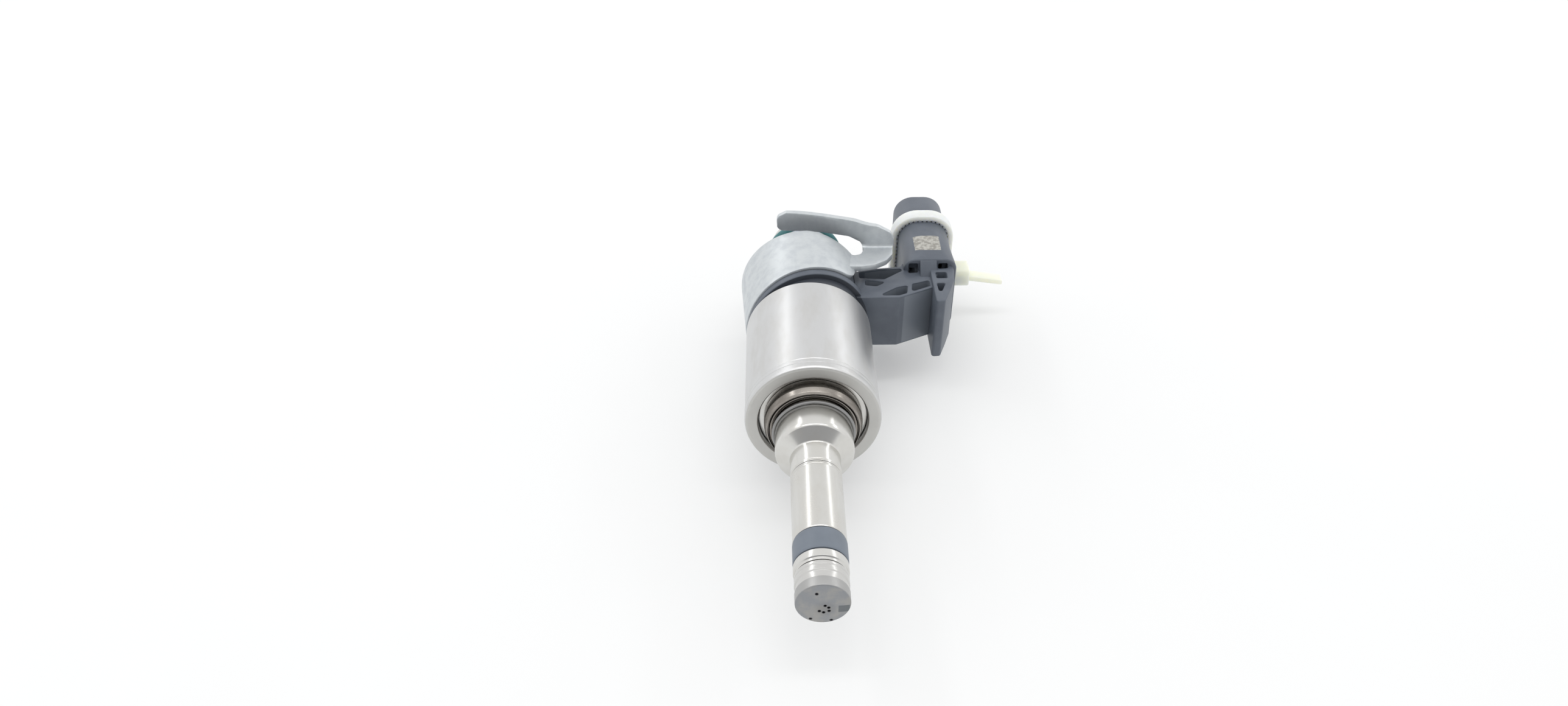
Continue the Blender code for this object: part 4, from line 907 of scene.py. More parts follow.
# %% [markdown]
# ## The rings in the housing's mouth
# From the neck outwards there are a wire snap ring with an opening, the brown decoupling ring that
# carries the injector on its seat in the cylinder head, and a thin steel washer behind it. The
# snap ring is a round wire along an open circle; the other two are turned.

# %% Make the rings
def wire_mesh(points, radius):
    """Round wire through open points, in millimetres, with closed ends."""
    curve = bpy.data.curves.new("wire", "CURVE")
    curve.dimensions = "3D"
    curve.bevel_depth = radius * MM
    curve.bevel_resolution = 3
    curve.use_fill_caps = True
    spline = curve.splines.new("POLY")
    spline.points.add(len(points) - 1)
    for point, place in zip(spline.points, points):
        point.co = (*(Vector(place) * MM), 1.0)
    holder = bpy.data.objects.new("wire", curve)
    bpy.context.scene.collection.objects.link(holder)
    mesh = plain_mesh(holder)
    face_outwards(mesh)
    return mesh


def make_rings():
    low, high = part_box("snap_ring")
    wire = (high.y - low.y) / MM / 2
    middle_y = (high.y + low.y) / MM / 2
    circle = high.x / MM - wire
    opening = math.radians(24)
    start = -math.pi / 2 + opening / 2
    runs = 96
    turns = [start + (math.tau - opening) * i / runs for i in range(runs + 1)]
    path = [(circle * math.cos(a), middle_y, circle * math.sin(a)) for a in turns]
    piece("snap_ring_wire", wire_mesh(path, wire), wire_steel, "injector", "snap_ring")
    inner = BODY_R + GAP
    bronze_ring = [
        (inner, BRONZE_HIGH),
        (inner, BRONZE_LOW + 0.55),
        (inner + 0.22, BRONZE_LOW + 0.10, 0.12),
        (inner + 0.66, BRONZE_LOW + 0.10, 0.12),
        (inner + 0.72, BRONZE_LOW + 0.50),
        (inner + 0.94, BRONZE_LOW + 0.50),
        (inner + 1.00, BRONZE_LOW, 0.10),
        (BRONZE_R - 0.65, BRONZE_LOW + 0.05, 0.20),
        (BRONZE_R - 0.35, BRONZE_LOW + 0.45, 0.35),
        (BRONZE_R - 0.05, BRONZE_LOW + 1.25, 0.35),
        (BRONZE_R, BRONZE_LOW + 1.75, 0.20),
        (BRONZE_R, BRONZE_HIGH),
    ]
    ring = turned_mesh(bronze_ring, 0.08, steps=5)
    piece("bronze_ring", ring, bronze, "injector", "decoupling_ring")
    washer = [
        (inner, WASHER_LOW),
        (WASHER_R, WASHER_LOW),
        (WASHER_R, WASHER_HIGH),
        (inner, WASHER_HIGH),
    ]
    piece("steel_washer", turned_mesh(washer, 0.10), steel, "injector", "backing_washer")


make_rings()

# %% [markdown]
# ## The magnet housing
# A deep-drawn steel can with a flat rim in front. Two fine turned lines run round it behind the
# rim, where a slightly larger lip ends. The top edge is chamfered.

# %% Turn the housing
MOUTH_R = 8.63
COIL_FLOOR, COIL_FLOOR_TOP = 38.80, 40.80
LINE_LOW, LINE_HIGH = 38.38, 38.48
LIP_END = 39.20


def make_housing():
    body = LIP_R - 0.06
    bore = body - 1.0
    profile = [
        (MOUTH_R, RIM_Y + 0.22),
        (MOUTH_R + 0.20, RIM_Y),
        (10.30, RIM_Y),
        (LIP_R - 0.14, RIM_Y + 0.12, 0.10),
        (LIP_R, RIM_Y + 0.45),
        (LIP_R, LINE_LOW - 0.08),
        (LIP_R - 0.08, LINE_LOW),
        (LIP_R - 0.08, LINE_HIGH),
        (LIP_R, LINE_HIGH + 0.08),
        (LIP_R, LIP_END),
        (body - 0.06, LIP_END + 0.14),
        (body - 0.06, LIP_END + 0.24),
        (body, LIP_END + 0.34),
        (body, HOUSING_TOP - 0.25),
        (body - 0.20, HOUSING_TOP),
        (bore, HOUSING_TOP),
        (bore, COIL_FLOOR_TOP),
        (BODY_R + GAP, COIL_FLOOR_TOP),
        (BODY_R + GAP, COIL_FLOOR),
        (MOUTH_R, COIL_FLOOR),
    ]
    piece("housing", turned_mesh(profile, 0.05, 176), housing_steel, "injector", "magnet_housing")


make_housing()

# %% [markdown]
# ## The black moulding
# One moulding holds the coil, closes the housing, and carries the connector on an arm. It is a
# collar with a slanted rim, an arm with pockets on both faces that leave a lattice of ribs, an end
# plate and the connector shell. Each of these is its own closed shape that runs into the next, as
# the walls of a real moulding do, so every rib keeps its rounded edges. Distances along the
# injector are counted from the housing's top edge.

# %% The collar and its slanted rim
TOP = HOUSING_TOP
COLLAR_R = 9.70


def clip_foot(angle):
    """Where the clip's lower edge is: it falls away towards the closed side of the band."""
    x = COLLAR_R * math.cos(angle)
    return TOP + 4.0 + 0.24 * x - 0.007 * x * x


def collar_mesh():
    """The collar that the clip sits on, with a step at its top and a stem inside the housing."""
    profile = [
        (5.40, TOP + 17.0),
        (8.20, TOP + 17.0),
        (8.60, TOP + 16.6),
        (8.60, TOP + 15.6),
        (COLLAR_R, TOP + 15.6),
        (COLLAR_R, TOP + 0.1),
        (9.60, TOP - 0.1),
        (9.60, TOP - 4.0),
        (5.40, TOP - 4.0),
    ]
    return turned_mesh(profile, 0.2)


def rim_mesh(columns=144):
    """The rim under the clip: the same section all round, at a height that follows the clip."""
    work = bmesh.new()
    rings = []
    for i in range(columns):
        angle = math.tau * i / columns
        high = clip_foot(angle) - 0.15
        low = max(high - 1.45, TOP + 0.1)
        square = [(8.8, low), (10.65, low), (10.65, high), (8.8, high)]
        section = rounded(square, 0.22)
        across, up = math.cos(angle), math.sin(angle)
        places = [Vector((radius * across, y, radius * up)) * MM for radius, y in section]
        rings.append([work.verts.new(place) for place in places])
    for one, two in zip(rings, rings[1:] + rings[:1]):
        for i in range(len(one)):
            j = (i + 1) % len(one)
            work.faces.new((one[i], one[j], two[j], two[i]))
    bmesh.ops.recalc_face_normals(work, faces=work.faces)
    mesh = bpy.data.meshes.new("rim")
    work.to_mesh(mesh)
    work.free()
    return mesh


# %% [markdown]
# The arm is a plate with five openings, on a thinner solid plate that closes them half way. That
# leaves ribs with pockets between them on both faces, as a mould does that keeps every wall
# equally thin. The outlines have only the corners that the shape needs.

# %% The arm and its ribs
ARM_HALF, ARM_CORE = 5.15, 2.85
CORE_INSET = 0.12


def shifted(outline):
    """An outline written with y counted from the housing's top edge."""
    return [(point[0], point[1] + TOP, *point[2:]) for point in outline]


ARM_OUTLINE = rounded(
    shifted(
        [
            (8.3, 3.3),
            (15.9, 3.35, 0.8),
            (22.4, 6.6),
            (22.4, 14.9),
            (17.7, 14.9, 0.6),
            (16.9, 13.2, 0.5),
            (10.6, 12.4),
            (8.3, 11.4),
        ]
    ),
    0.3,
    4,
)
ARM_POCKETS = [
    [(12.3, 4.0), (15.9, 4.05), (17.3, 4.75), (17.7, 7.2), (15.6, 6.5)],
    [(18.2, 5.2), (21.65, 6.95), (21.65, 8.75), (18.5, 7.6)],
    [(10.2, 7.3), (12.1, 6.9), (14.0, 8.3), (10.2, 8.9)],
    [(9.3, 9.55), (13.7, 9.15), (17.1, 11.9), (16.9, 12.6), (13.2, 12.2), (9.3, 11.3)],
    [(18.2, 11.1), (19.9, 11.3), (19.9, 13.0), (18.2, 13.0)],
]


def arm_mesh():
    holes = [rounded(shifted(pocket), 0.35, 4) for pocket in ARM_POCKETS]
    ribs = plate_mesh([ARM_OUTLINE, *holes], -ARM_HALF, ARM_HALF, 0.16, steps=3)
    core = plate_mesh([moved_in(facing(ARM_OUTLINE, True), CORE_INSET)], -ARM_CORE, ARM_CORE, 0.1)
    return joined(ribs, core)


# %% [markdown]
# The end plate closes the arm and stands further out than it on both faces. It narrows to a rounded
# point and has three pockets of its own, so it is made in the same way.

# %% The end plate
PLATE_HALF, PLATE_CORE = 6.0, 3.7
PLATE_OUTLINE = rounded(
    shifted(
        [
            (21.95, 0.80),
            (23.50, 0.95),
            (24.80, 4.40),
            (25.85, 7.50),
            (26.25, 10.8),
            (26.15, 13.0),
            (25.3, 14.8),
            (21.95, 15.0),
        ]
    ),
    0.5,
    4,
)
PLATE_POCKETS = [
    [(22.85, 8.15), (24.75, 8.15), (24.75, 10.1), (22.85, 10.1)],
    [(22.65, 6.55), (22.85, 3.0), (24.2, 6.55)],
    [(23.5, 11.2), (25.25, 11.4), (25.25, 13.0), (23.5, 13.0)],
]


def end_plate_mesh():
    holes = [rounded(shifted(pocket), 0.3, 4) for pocket in PLATE_POCKETS]
    ribs = plate_mesh([PLATE_OUTLINE, *holes], -PLATE_HALF, PLATE_HALF, 0.25, steps=3)
    inside = moved_in(facing(PLATE_OUTLINE, True), CORE_INSET)
    core = plate_mesh([inside], -PLATE_CORE, PLATE_CORE, 0.1)
    return joined(ribs, core)


# %% [markdown]
# The connector's shell is a loft: the same number of points at each place along it, from a squarer
# outline at the arm to a rounder one at its mouth, with a few close rows where an edge is rounded.
# The socket, its flared mouth and two notches on each face are cut out of it. A wedge on each face
# runs up to it from the arm.

# %% The connector shell with its socket
SHELL_WIDTH, SHELL_HEIGHT, SHELL_CORNER = 9.2, 16.1, 3.6
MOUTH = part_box("overmould")[1] / MM
SHELL_X = MOUTH.x - SHELL_WIDTH / 2
MOUTH_Y = MOUTH.y


def shell_sections():
    """(y, width, height, corner) of the shell: squarer at the arm, rounder from its middle on."""
    front, middle = TOP + 11.8, TOP + 18.4
    made = []
    for inset, along in ((0.40, 0.0), (0.18, 0.06), (0.04, 0.20)):
        made.append((front + along, 9.5 - 2 * inset, 14.9 - 2 * inset, 2.2 - inset))
    for step in range(5):
        share = step / 4
        place = front + 0.4 + (middle - front - 0.4) * share
        made.append((place, 9.5 - 0.3 * share, 14.9 + 1.2 * share, 2.2 + 1.4 * share))
    for inset, along in ((0.0, 0.45), (0.05, 0.25), (0.2, 0.07), (0.45, 0.0)):
        width, height = SHELL_WIDTH - 2 * inset, SHELL_HEIGHT - 2 * inset
        made.append((MOUTH_Y - along, width, height, SHELL_CORNER - inset))
    return made


def shell_mesh():
    work = bmesh.new()
    rings = []
    for y, width, height, corner in shell_sections():
        outline = box_outline(SHELL_X, 0, width, height, corner, 10)
        rings.append([work.verts.new(Vector((x, y, z)) * MM) for x, z in outline])
    for one, two in zip(rings, rings[1:]):
        for i in range(len(one)):
            work.faces.new((one[i - 1], one[i], two[i], two[i - 1]))
    work.faces.new(rings[0])
    work.faces.new(rings[-1])
    bmesh.ops.recalc_face_normals(work, faces=work.faces)
    mesh = bpy.data.meshes.new("shell")
    work.to_mesh(mesh)
    work.free()
    return mesh


def connector_mesh():
    inside = box_outline(SHELL_X, 0, 6.6, 13.5, 2.3, 8)
    wider = box_outline(SHELL_X, 0, 7.2, 14.1, 2.6, 8)
    beyond = MOUTH_Y + 1.0
    socket = plate_mesh([inside], MOUTH_Y - 14.0, beyond, 0.1, "Y")
    flare = plate_mesh([wider], MOUTH_Y - 0.5, beyond, 0.49, "Y", 4)
    notches = []
    for outline, floor in ((ARM_POCKETS[-1], ARM_CORE), (PLATE_POCKETS[-1], PLATE_CORE)):
        notch = plate_mesh([rounded(shifted(outline), 0.3, 4)], floor, 6.7, 0.3)
        notches += [notch, below(notch)]
    return cut(shell_mesh(), socket, flare, *notches)


def ramp_mesh():
    """The wedge that runs up from the arm's top face to the shell, between the two front pockets."""
    side = [(TOP + 9.4, 4.8), (TOP + 12.4, 4.8), (TOP + 12.4, 7.25), (TOP + 11.75, 7.25)]
    return plate_mesh([rounded(side, 0.25)], 20.2, 23.2, 0.15, "X")


def make_moulding():
    ramp = ramp_mesh()
    shapes = [collar_mesh(), rim_mesh(), arm_mesh(), end_plate_mesh(), connector_mesh()]
    piece("moulding", joined(*shapes, ramp, below(ramp)), black_nylon, "injector", "overmould")


make_moulding()

# %% [markdown]
# ## The terminals
# Two tinned blades stand in the socket. Their ends are pointed so that a plug finds them.

# %% Make the terminals
def make_terminals():
    for number, node in ((1, "terminal_1"), (2, "terminal_2")):
        low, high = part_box(node)
        middle_z = (low.z + high.z) / 2 / MM
        thick = (high.z - low.z) / MM
        tip_y = high.y / MM
        foot_y = MOUTH_Y - 14.6
        blade = [
            (SHELL_X - 0.4, foot_y),
            (SHELL_X + 0.4, foot_y),
            (SHELL_X + 0.4, tip_y - 0.9),
            (SHELL_X + 0.12, tip_y),
            (SHELL_X - 0.12, tip_y),
            (SHELL_X - 0.4, tip_y - 0.9),
        ]
        mesh = plate_mesh([blade], middle_z - thick / 2, middle_z + thick / 2, 0.12)
        piece(f"terminal_blade_{number}", mesh, tin, "injector", node)


make_terminals()

# %% [markdown]
# ## The spring clip
# The clip is cut from 1 mm zinc-plated sheet and bent: a band that grips the collar, a flat tab on
# each side of it, and a leaf that is folded up from the tab and curves away to press on the fuel
# rail. The band is a grid of faces laid round the collar: its lower edge follows the moulding's
# slanted rim, and its upper edge drops towards the two open ends. Solidify gives the sheet its
# thickness and Bevel rounds its edges.

# %% The band
SHEET = 1.0
BAND_OPENING = 42.5
CLIP_TAB_TOP = TOP + 15.0


def band_inner(along):
    """The band's inner radius. It opens slightly upwards, as a sprung band does."""
    return COLLAR_R + 0.15 + 0.07 * (along - clip_foot(math.pi))


def band_top(angle):
    """The upper edge is level round the back and drops towards the two open ends."""
    from_end = math.degrees(min(angle, math.tau - angle)) - BAND_OPENING
    drop = max(0.0, 1 - from_end / 48.0)
    return CLIP_TAB_TOP - 3.1 * drop**1.4


def sheet_to_solid(mesh, offset):
    """Sheet metal from open faces. An offset of 0 puts the thickness half on each side of them."""
    holder = bpy.data.objects.new("sheet", mesh)
    bpy.context.scene.collection.objects.link(holder)
    solid = holder.modifiers.new("thickness", "SOLIDIFY")
    solid.thickness = SHEET * MM
    solid.offset = offset
    soft = holder.modifiers.new("edge", "BEVEL")
    soft.width = 0.16 * MM
    soft.segments = 2
    soft.limit_method = "ANGLE"
    soft.angle_limit = math.radians(50)
    return plain_mesh(holder)


def band_mesh(columns=128, rows=10):
    work = bmesh.new()
    opening = math.radians(BAND_OPENING)
    sweep = math.tau - 2 * opening
    corner = 2.2
    grid = []
    for i in range(columns + 1):
        share = i / columns
        angle = opening + sweep * share
        from_end = min(share, 1 - share) * sweep * (COLLAR_R + 0.6)
        lift = corner - math.sqrt(max(corner**2 - max(corner - from_end, 0.0) ** 2, 0.0))
        low, high = clip_foot(angle) + lift, band_top(angle)
        column = []
        for j in range(rows + 1):
            along = low + (high - low) * j / rows
            radius = band_inner(along)
            place = Vector((radius * math.cos(angle), along, radius * math.sin(angle)))
            column.append(work.verts.new(place * MM))
        grid.append(column)
    for one, two in zip(grid, grid[1:]):
        for j in range(rows):
            work.faces.new((one[j], two[j], two[j + 1], one[j + 1]))
    mesh = bpy.data.meshes.new("band")
    work.to_mesh(mesh)
    work.free()
    return sheet_to_solid(mesh, -1.0)


# %% [markdown]
# The tab and its leaf are one flat blank. It is cut into short runs and then bent by a formula, as a
# press would bend it, so the fold has a real radius. The leaf stands up from the fold and sweeps
# further along the injector towards its free end. The lower one is the mirror image of the upper.

# %% The tab and the leaf, cut flat and then bent
TAB_MIDDLE = 8.10
FOLD_START = TOP + 13.95
FOLD_RADIUS = 1.0
FOLD_LENGTH = FOLD_RADIUS * math.pi / 2
LEAF_ZERO = FOLD_START + FOLD_LENGTH - TAB_MIDDLE - FOLD_RADIUS
SWEEP_START, SWEEP_LENGTH, LEAF_SWEEP = 11.0, 16.4, 4.9


def on_leaf(x, z):
    """A point of the leaf on the flat blank: z is its height once it is bent."""
    return (x, LEAF_ZERO + z)


BLANK = [
    (6.9, TOP + 8.0, 0.1),
    (9.4, TOP + 7.95, 1.0),
    (11.9, TOP + 8.55, 2.0),
    (14.0, TOP + 10.0, 2.0),
    (15.2, TOP + 12.0, 1.5),
    (15.35, TOP + 13.9, 1.0),
    on_leaf(15.6, 10.0) + (1.0,),
    on_leaf(15.0, 11.4) + (1.2,),
    on_leaf(12.6, 12.75) + (3.0,),
    on_leaf(8.4, 13.45) + (6.0,),
    on_leaf(2.0, 13.10) + (8.0,),
    on_leaf(-3.6, 12.85) + (0.9,),
    on_leaf(-5.3, 11.9) + (1.1,),
    on_leaf(-5.2, 9.7) + (0.8,),
    on_leaf(-4.0, 9.05) + (0.8,),
    on_leaf(3.0, 9.80) + (8.0,),
    on_leaf(7.8, 10.15) + (2.0,),
    on_leaf(9.9, 9.4) + (0.6,),
    (10.2, TOP + 13.6, 0.9),
    (9.6, TOP + 12.0, 0.9),
    (8.3, TOP + 11.6, 0.8),
    (6.9, TOP + 12.6, 0.1),
]


def bent(point):
    """Where a point of the flat blank goes. The blank lies in the tab's plane."""
    x, along = point.x, point.y
    past = along - FOLD_START
    if past <= 0:
        return Vector((x, along, TAB_MIDDLE))
    rise = max(0.0, min(1.0, (SWEEP_START - x) / SWEEP_LENGTH))
    sweep = LEAF_SWEEP * math.sin(rise * math.pi / 2) ** 1.25
    turn = min(past / FOLD_LENGTH, 1.0) * math.pi / 2
    y = FOLD_START + FOLD_RADIUS * math.sin(turn)
    z = TAB_MIDDLE + FOLD_RADIUS * (1 - math.cos(turn)) + max(0.0, past - FOLD_LENGTH)
    return Vector((x, y + sweep * turn / (math.pi / 2), z))


def leaf_mesh():
    work = bmesh.new()
    outline = rounded(BLANK, 0.5, 6)
    work.faces.new([work.verts.new((x, y, 0.0)) for x, y in outline])
    cuts = [((-5.0 + 0.7 * i, 0, 0), (1, 0, 0)) for i in range(30)]
    cuts += [((0, FOLD_START - 0.1 + 0.2 * i, 0), (0, 1, 0)) for i in range(10)]
    cuts += [((0, FOLD_START + FOLD_LENGTH + 0.6 * i, 0), (0, 1, 0)) for i in range(1, 8)]
    cuts += [((0, FOLD_START - 1.0 * i, 0), (0, 1, 0)) for i in range(1, 7)]
    for place, direction in cuts:
        everything = work.verts[:] + work.edges[:] + work.faces[:]
        bmesh.ops.bisect_plane(work, geom=everything, plane_co=place, plane_no=direction, dist=1e-4)
    for vertex in work.verts:
        vertex.co = bent(vertex.co) * MM
    mesh = bpy.data.meshes.new("leaf")
    work.to_mesh(mesh)
    work.free()
    return sheet_to_solid(mesh, 0.0)


upper_leaf = leaf_mesh()
clip_mesh = joined(band_mesh(), upper_leaf, below(upper_leaf))
face_outwards(clip_mesh)
piece("clip", clip_mesh, zinc, "clip", "spring_clip")

# %% [markdown]
# ## The fuel inlet
# The inlet is a turned tube with a thick head. A nylon backup ring and a teal O-ring sit in its
# groove. All three are turned, the O-ring from a circle.

# %% Turn the inlet and its rings
GROOVE_LOW, GROOVE_HIGH = 83.70, 87.05
FUEL_BORE_R, FILTER_BORE_R = 2.6, 3.6


def make_inlet():
    tube = 5.3
    head = 6.3
    profile = [
        (FUEL_BORE_R, TUBE_LOW),
        (tube, TUBE_LOW),
        (tube, 80.55, 0.4),
        (SHOULDER_R, 80.55, 0.25),
        (SHOULDER_R, GROOVE_LOW),
        (tube, GROOVE_LOW),
        (tube, GROOVE_HIGH),
        (head, GROOVE_HIGH),
        (head, INLET_TOP - 0.55, 0.4),
        (head - 0.6, INLET_TOP),
        (FILTER_BORE_R + 0.35, INLET_TOP),
        (FILTER_BORE_R, INLET_TOP - 0.45),
        (FILTER_BORE_R, 82.0),
        (FUEL_BORE_R, 82.0),
    ]
    piece("inlet", turned_mesh(profile, 0.1, 128), steel, "injector", "inlet_tube")
    ring_r, ring_low, ring_high = span("backup_ring")
    inner = tube + 0.15
    backup = [(inner, ring_low), (ring_r, ring_low), (ring_r, ring_high), (inner, ring_high)]
    ring = turned_mesh(backup, 0.12, 96)
    piece("backup_ring_turned", ring, natural_nylon, "injector", "backup_ring")
    o_r, o_low, o_high = span("inlet_o_ring")
    half = (o_high - o_low) / 2
    angles = [math.tau * i / 24 for i in range(24)]
    circle = [(o_r - half + half * math.cos(a), o_low + half + half * math.sin(a), 0) for a in angles]
    piece("o_ring", turned_mesh(circle, 0, 128), teal_rubber, "injector", "inlet_o_ring")


make_inlet()

# %% [markdown]
# ## The inlet filter
# The filter is a thin cup whose wall is a lattice of slots. The cup's flange and floor are turned,
# and a Geometry Nodes tree stands the same thin bar round a circle to make the open wall.

# %% A tree that repeats a bar round the axis
def bars_tree():
    inputs = [
        ("Bars", "NodeSocketInt"),
        ("Circle", "NodeSocketFloat"),
        ("Low", "NodeSocketFloat"),
        ("Length", "NodeSocketFloat"),
        ("Width", "NodeSocketFloat"),
        ("Finish", "NodeSocketMaterial"),
    ]
    graph, signals = open_tree("bars round an axis", "Lattice", inputs)
    bars, circle, low, length, width, finish = signals
    index = graph.node("GeometryNodeInputIndex")
    angle = index * math.tau / bars
    line = graph.node("GeometryNodeMeshLine", {}, {"Count": bars})
    across = circle * graph.node("ShaderNodeMath", {"operation": "COSINE"}, {0: angle})
    up = circle * graph.node("ShaderNodeMath", {"operation": "SINE"}, {0: angle})
    place = graph.node("ShaderNodeCombineXYZ", {}, {"X": across, "Y": low + length / 2, "Z": up})
    points = graph.node("GeometryNodeSetPosition", {}, {"Geometry": line, "Position": place})
    size = graph.node("ShaderNodeCombineXYZ", {}, {"X": width, "Y": length, "Z": width})
    bar = graph.node("GeometryNodeMeshCube", {}, {"Size": size})
    turn = graph.node("ShaderNodeCombineXYZ", {}, {"Y": 0 - angle})
    sockets = {"Points": points, "Instance": bar, "Rotation": turn}
    stood = graph.node("GeometryNodeInstanceOnPoints", {}, sockets)
    return close_tree(graph, "Lattice", stood, finish)


BARS = bars_tree()

# %% Make the filter
def make_filter():
    outer, low, high = span("inlet_filter")
    wall, bore = 2.5, 2.1
    flange = [(bore, high - 0.8), (outer, high - 0.8), (outer, high), (bore, high)]
    collar = [(bore, high - 2.4), (wall, high - 2.4), (wall, high - 0.7), (bore, high - 0.7)]
    floor = [(0.0, low, 0), (wall, low), (wall, low + 0.7), (0.0, low + 0.7, 0)]
    parts = [turned_mesh(shape, 0.08, 72) for shape in (flange, collar, floor)]
    lattice = run_tree(
        BARS,
        Bars=36,
        Circle=2.35 * MM,
        Low=(low + 0.5) * MM,
        Length=(high - low - 2.6) * MM,
        Width=0.22 * MM,
    )
    for y in (low + 4.5, low + 9.0):
        parts.append(turned_mesh([(2.22, y), (2.46, y), (2.46, y + 0.3), (2.22, y + 0.3)], 0.02, 72))
    piece("filter", joined(*parts, lattice), mesh_steel, "injector", "inlet_filter")


make_filter()

# %% [markdown]
# ## The cable tie
# A natural nylon tie is wrapped round the connector. Its strap is smooth outside and has ratchet
# teeth inside. The teeth are one small bar that Geometry Nodes repeats along the strap's inner line.
# The head is a block beside the connector, with a slot that the strap's tail leaves through.

# %% A tree that repeats a tooth along a closed line
def teeth_tree():
    inputs = [
        ("Line", "NodeSocketGeometry"),
        ("Teeth", "NodeSocketInt"),
        ("Tooth width", "NodeSocketFloat"),
        ("Tooth depth", "NodeSocketFloat"),
        ("Strap width", "NodeSocketFloat"),
        ("Finish", "NodeSocketMaterial"),
    ]
    graph, signals = open_tree("ratchet teeth", "Ratchet", inputs)
    line, teeth, wide, deep, strap, finish = signals
    curve = graph.node("GeometryNodeMeshToCurve", {}, {"Mesh": line})
    spaced = graph.node("GeometryNodeResampleCurve", {}, {"Curve": curve, "Count": teeth})
    tangent = graph.node("GeometryNodeInputTangent")
    turn = graph.node("FunctionNodeAlignRotationToVector", {"axis": "X"}, {"Vector": tangent})
    size = graph.node("ShaderNodeCombineXYZ", {}, {"X": wide, "Y": strap, "Z": deep})
    tooth = graph.node("GeometryNodeMeshCube", {}, {"Size": size})
    sockets = {"Points": spaced, "Instance": tooth, "Rotation": turn}
    stood = graph.node("GeometryNodeInstanceOnPoints", {}, sockets)
    return close_tree(graph, "Ratchet", stood, finish)


TEETH = teeth_tree()

# %% Run the teeth round the shell
TIE_LOW, TIE_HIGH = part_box("cable_tie")
TIE_MIDDLE = (TIE_LOW.y + TIE_HIGH.y) / 2 / MM
TAIL_TIP = TIE_HIGH.x / MM
STRAP_WIDTH = 2.6


def shell_ring(out):
    """The shell's outline at its mouth, moved outwards."""
    width, height = SHELL_WIDTH + 2 * out, SHELL_HEIGHT + 2 * out
    return box_outline(SHELL_X, 0, width, height, SHELL_CORNER + out, 10)


def ratchet_mesh():
    """The teeth inside the strap, on a line just outside the shell."""
    inner = shell_ring(0.13)
    line = bpy.data.meshes.new("line")
    loop = [(i, (i + 1) % len(inner)) for i in range(len(inner))]
    line.from_pydata([(x * MM, TIE_MIDDLE * MM, z * MM) for x, z in inner], loop, [])
    sizes = {
        "Teeth": 54,
        "Tooth width": 0.50 * MM,
        "Tooth depth": 0.22 * MM,
        "Strap width": (STRAP_WIDTH - 0.04) * MM,
    }
    return run_tree(TEETH, line, **sizes)


# %% Make the strap, the head and the tail
def make_tie():
    low, high = TIE_MIDDLE - STRAP_WIDTH / 2, TIE_MIDDLE + STRAP_WIDTH / 2
    strap = plate_mesh([shell_ring(1.2), shell_ring(0.20)], low, high, 0.18, "Y", 3)
    side = SHELL_X + SHELL_WIDTH / 2 + 0.6
    head_z, slot_z = -4.1, -4.65
    block = box_outline(TIE_MIDDLE, head_z, 4.4, 3.6, 0.8, 4)
    slot = box_outline(TIE_MIDDLE, slot_z, 3.1, 1.6, 0.25, 3)
    head = plate_mesh([block, slot], side, side + 4.4, 0.35, "X", 3)
    tail = rounded(
        [
            (side + 0.4, slot_z - 0.45),
            (side + 4.4, slot_z - 0.5),
            (TAIL_TIP, slot_z - 1.5),
            (TAIL_TIP, slot_z - 0.5),
            (side + 4.6, slot_z + 0.5),
            (side + 0.4, slot_z + 0.5),
        ],
        0.3,
        5,
    )
    strip = plate_mesh([tail], low + 0.12, high - 0.12, 0.15, "Y")
    tie = joined(strap, ratchet_mesh(), head, strip)
    piece("tie", tie, natural_nylon, "injector", "cable_tie")
    print(f"tie tail ends at x = {TAIL_TIP:.1f}")


make_tie()

# %% [markdown]
# ## What stays as CAD
# The pieces inside the housing are never seen from outside, so their CAD meshes are kept, and each
# gets the finish of its record slot.

# %% Paint the CAD nodes that are carried over
INSIDE = {
    "stainless_steel": steel,
    "spring_steel": spring_steel,
    "magnet_iron": hard_iron,
    "bobbin_nylon": bobbin_nylon,
    "copper": copper,
}
for name, node in frame["nodes"].items():
    if not node.hide_render:
        node.data.materials.clear()
        node.data.materials.append(INSIDE[SLOT_OF[name]])
        print("kept", name, "in", SLOT_OF[name])

# %% [markdown]
# ## Floor, light and camera
# The injector lies on a plain pale floor. The floor glows faintly, as a light table does, so that
# the shadows stay thin. Its colour drifts only a little.

# %% The floor
def make_floor():
    half = 4.0
    height = cad_box[0][2]
    square = [(-half, -half), (half, -half), (half, half), (-half, half)]
    corners = [(x, y, height) for x, y in square]
    mesh = bpy.data.meshes.new("floor")
    mesh.from_pydata(corners, [], [(0, 1, 2, 3)])
    floor = bpy.data.objects.new("floor", mesh)
    bpy.context.scene.collection.objects.link(floor)
    pale = Finish("pale floor", Roughness=0.9, Emission_Strength=0.30, Specular_IOR_Level=0.0)
    pale.shader.inputs["Emission Color"].default_value = (1.0, 1.0, 1.0, 1.0)
    drift = pale.blend(pale.noise(0.02, 2.0), (0.575, 0.58, 0.58), (0.60, 0.605, 0.605))
    pale.paint("Base Color", drift)
    mesh.materials.append(pale.material)
    print("floor at", round(height / MM, 2), "mm")


make_floor()

# %% [markdown]
# A pale room lights everything softly from all round. Steel shows what it mirrors, so the room is
# greyer in one part, in front of the tip and above the floor's level, and that gives the end faces
# and the cone their tone. The rest of the room stays even, so other views keep a clean background.

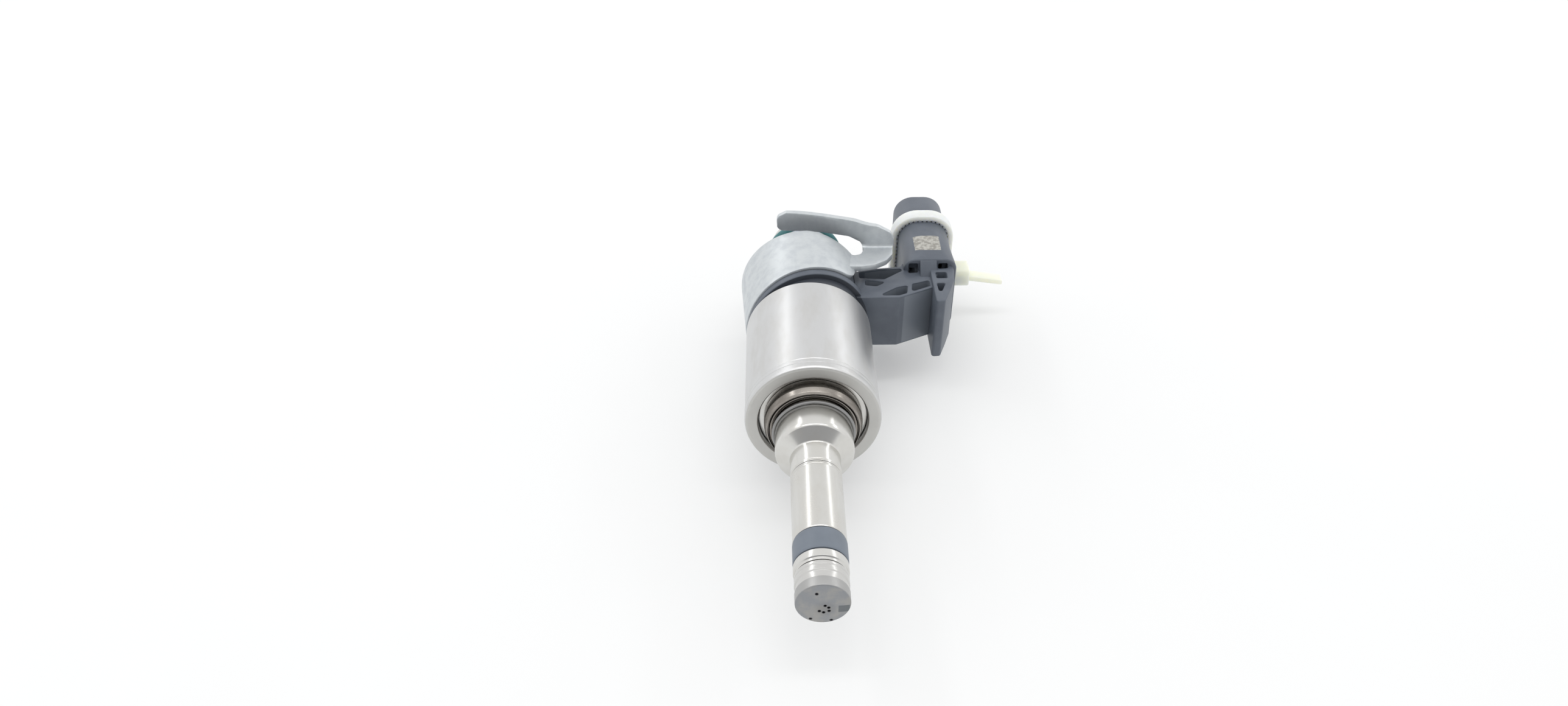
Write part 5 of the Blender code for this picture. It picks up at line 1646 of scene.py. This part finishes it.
# %% The room
def make_room():
    world = bpy.data.worlds.new("room")
    bpy.context.scene.world = world
    world.use_nodes = True
    room = Graph(world.node_tree)
    room.tree.nodes.clear()
    direction = room.node("ShaderNodeTexCoord", {}, {}, "Generated")
    sockets = {0: direction, 1: (0, -1, 0)}
    front = room.node("ShaderNodeVectorMath", {"operation": "DOT_PRODUCT"}, sockets, "Value")
    height = room.node("ShaderNodeSeparateXYZ", {}, {0: direction}, "Z")
    grey = room.limited(front, 0.66, 0.74) * room.limited(height, 0.03, 0.13)
    colour = room.blend(grey, (1.0, 1.0, 1.0), (0.42, 0.425, 0.435))
    background = room.node("ShaderNodeBackground", {}, {"Color": colour, "Strength": 1.0})
    room.node("ShaderNodeOutputWorld", {}, {"Surface": background})


make_room()
print("room nodes:", len(bpy.context.scene.world.node_tree.nodes))

# %% [markdown]
# Two long soft strips lie along the injector, one on each side and above it, and draw the bright
# lines along the turned steel. A shorter bar above it lies across, for the thin lines along the
# rounded edges. Places, sizes and powers are in metres and watts.

# %% The lights
def soft_light(name, width, length, power, place, toward):
    """A rectangular light at a place, turned to a point, with its length along the injector."""
    light = bpy.data.lights.new(name, "AREA")
    light.shape = "RECTANGLE"
    light.size = width
    light.size_y = length
    light.energy = power
    lamp = bpy.data.objects.new(name, light)
    lamp.location = place
    back = (Vector(place) - Vector(toward)).normalized()
    along = Vector((0, 1, 0))
    lamp.rotation_euler = Matrix((along.cross(back), along, back)).transposed().to_euler()
    bpy.context.scene.collection.objects.link(lamp)
    print(f"{name}: {power} W")


soft_light("left strip", 0.045, 0.9, 0.36, (-0.27, 0.52, 0.30), (0.0, 0.52, 0.0))
soft_light("right strip", 0.045, 0.9, 0.27, (0.34, 0.52, 0.25), (0.0, 0.52, 0.0))
soft_light("overhead", 0.7, 0.10, 0.8, (0.0, 0.03, 0.62), (0.0, 0.03, 0.0))

# %% [markdown]
# The camera stands in front of the tip and looks down along the injector with a wide lens, so the
# tip is large and the inlet is small. Its place is in millimetres.

# %% The camera
CAMERA_PLACE = (-6.52, -98.46, 115.53)


def make_camera():
    camera = bpy.data.cameras.new("camera")
    camera.sensor_width = 36
    camera.lens = 25.99
    camera.clip_start = 0.005
    holder = bpy.data.objects.new("camera", camera)
    bpy.context.scene.collection.objects.link(holder)
    right = Vector((0.9999, -0.0143, 0.0))
    forward = Vector((0.0114, 0.7988, -0.6014))
    up = right.cross(forward)
    turn = Matrix((right, up, -forward)).transposed().to_4x4()
    holder.matrix_world = Matrix.Translation(Vector(CAMERA_PLACE) * MM) @ turn
    bpy.context.scene.camera = holder


make_camera()
bpy.context.scene.view_settings.view_transform = "Standard"
print("camera at", CAMERA_PLACE)
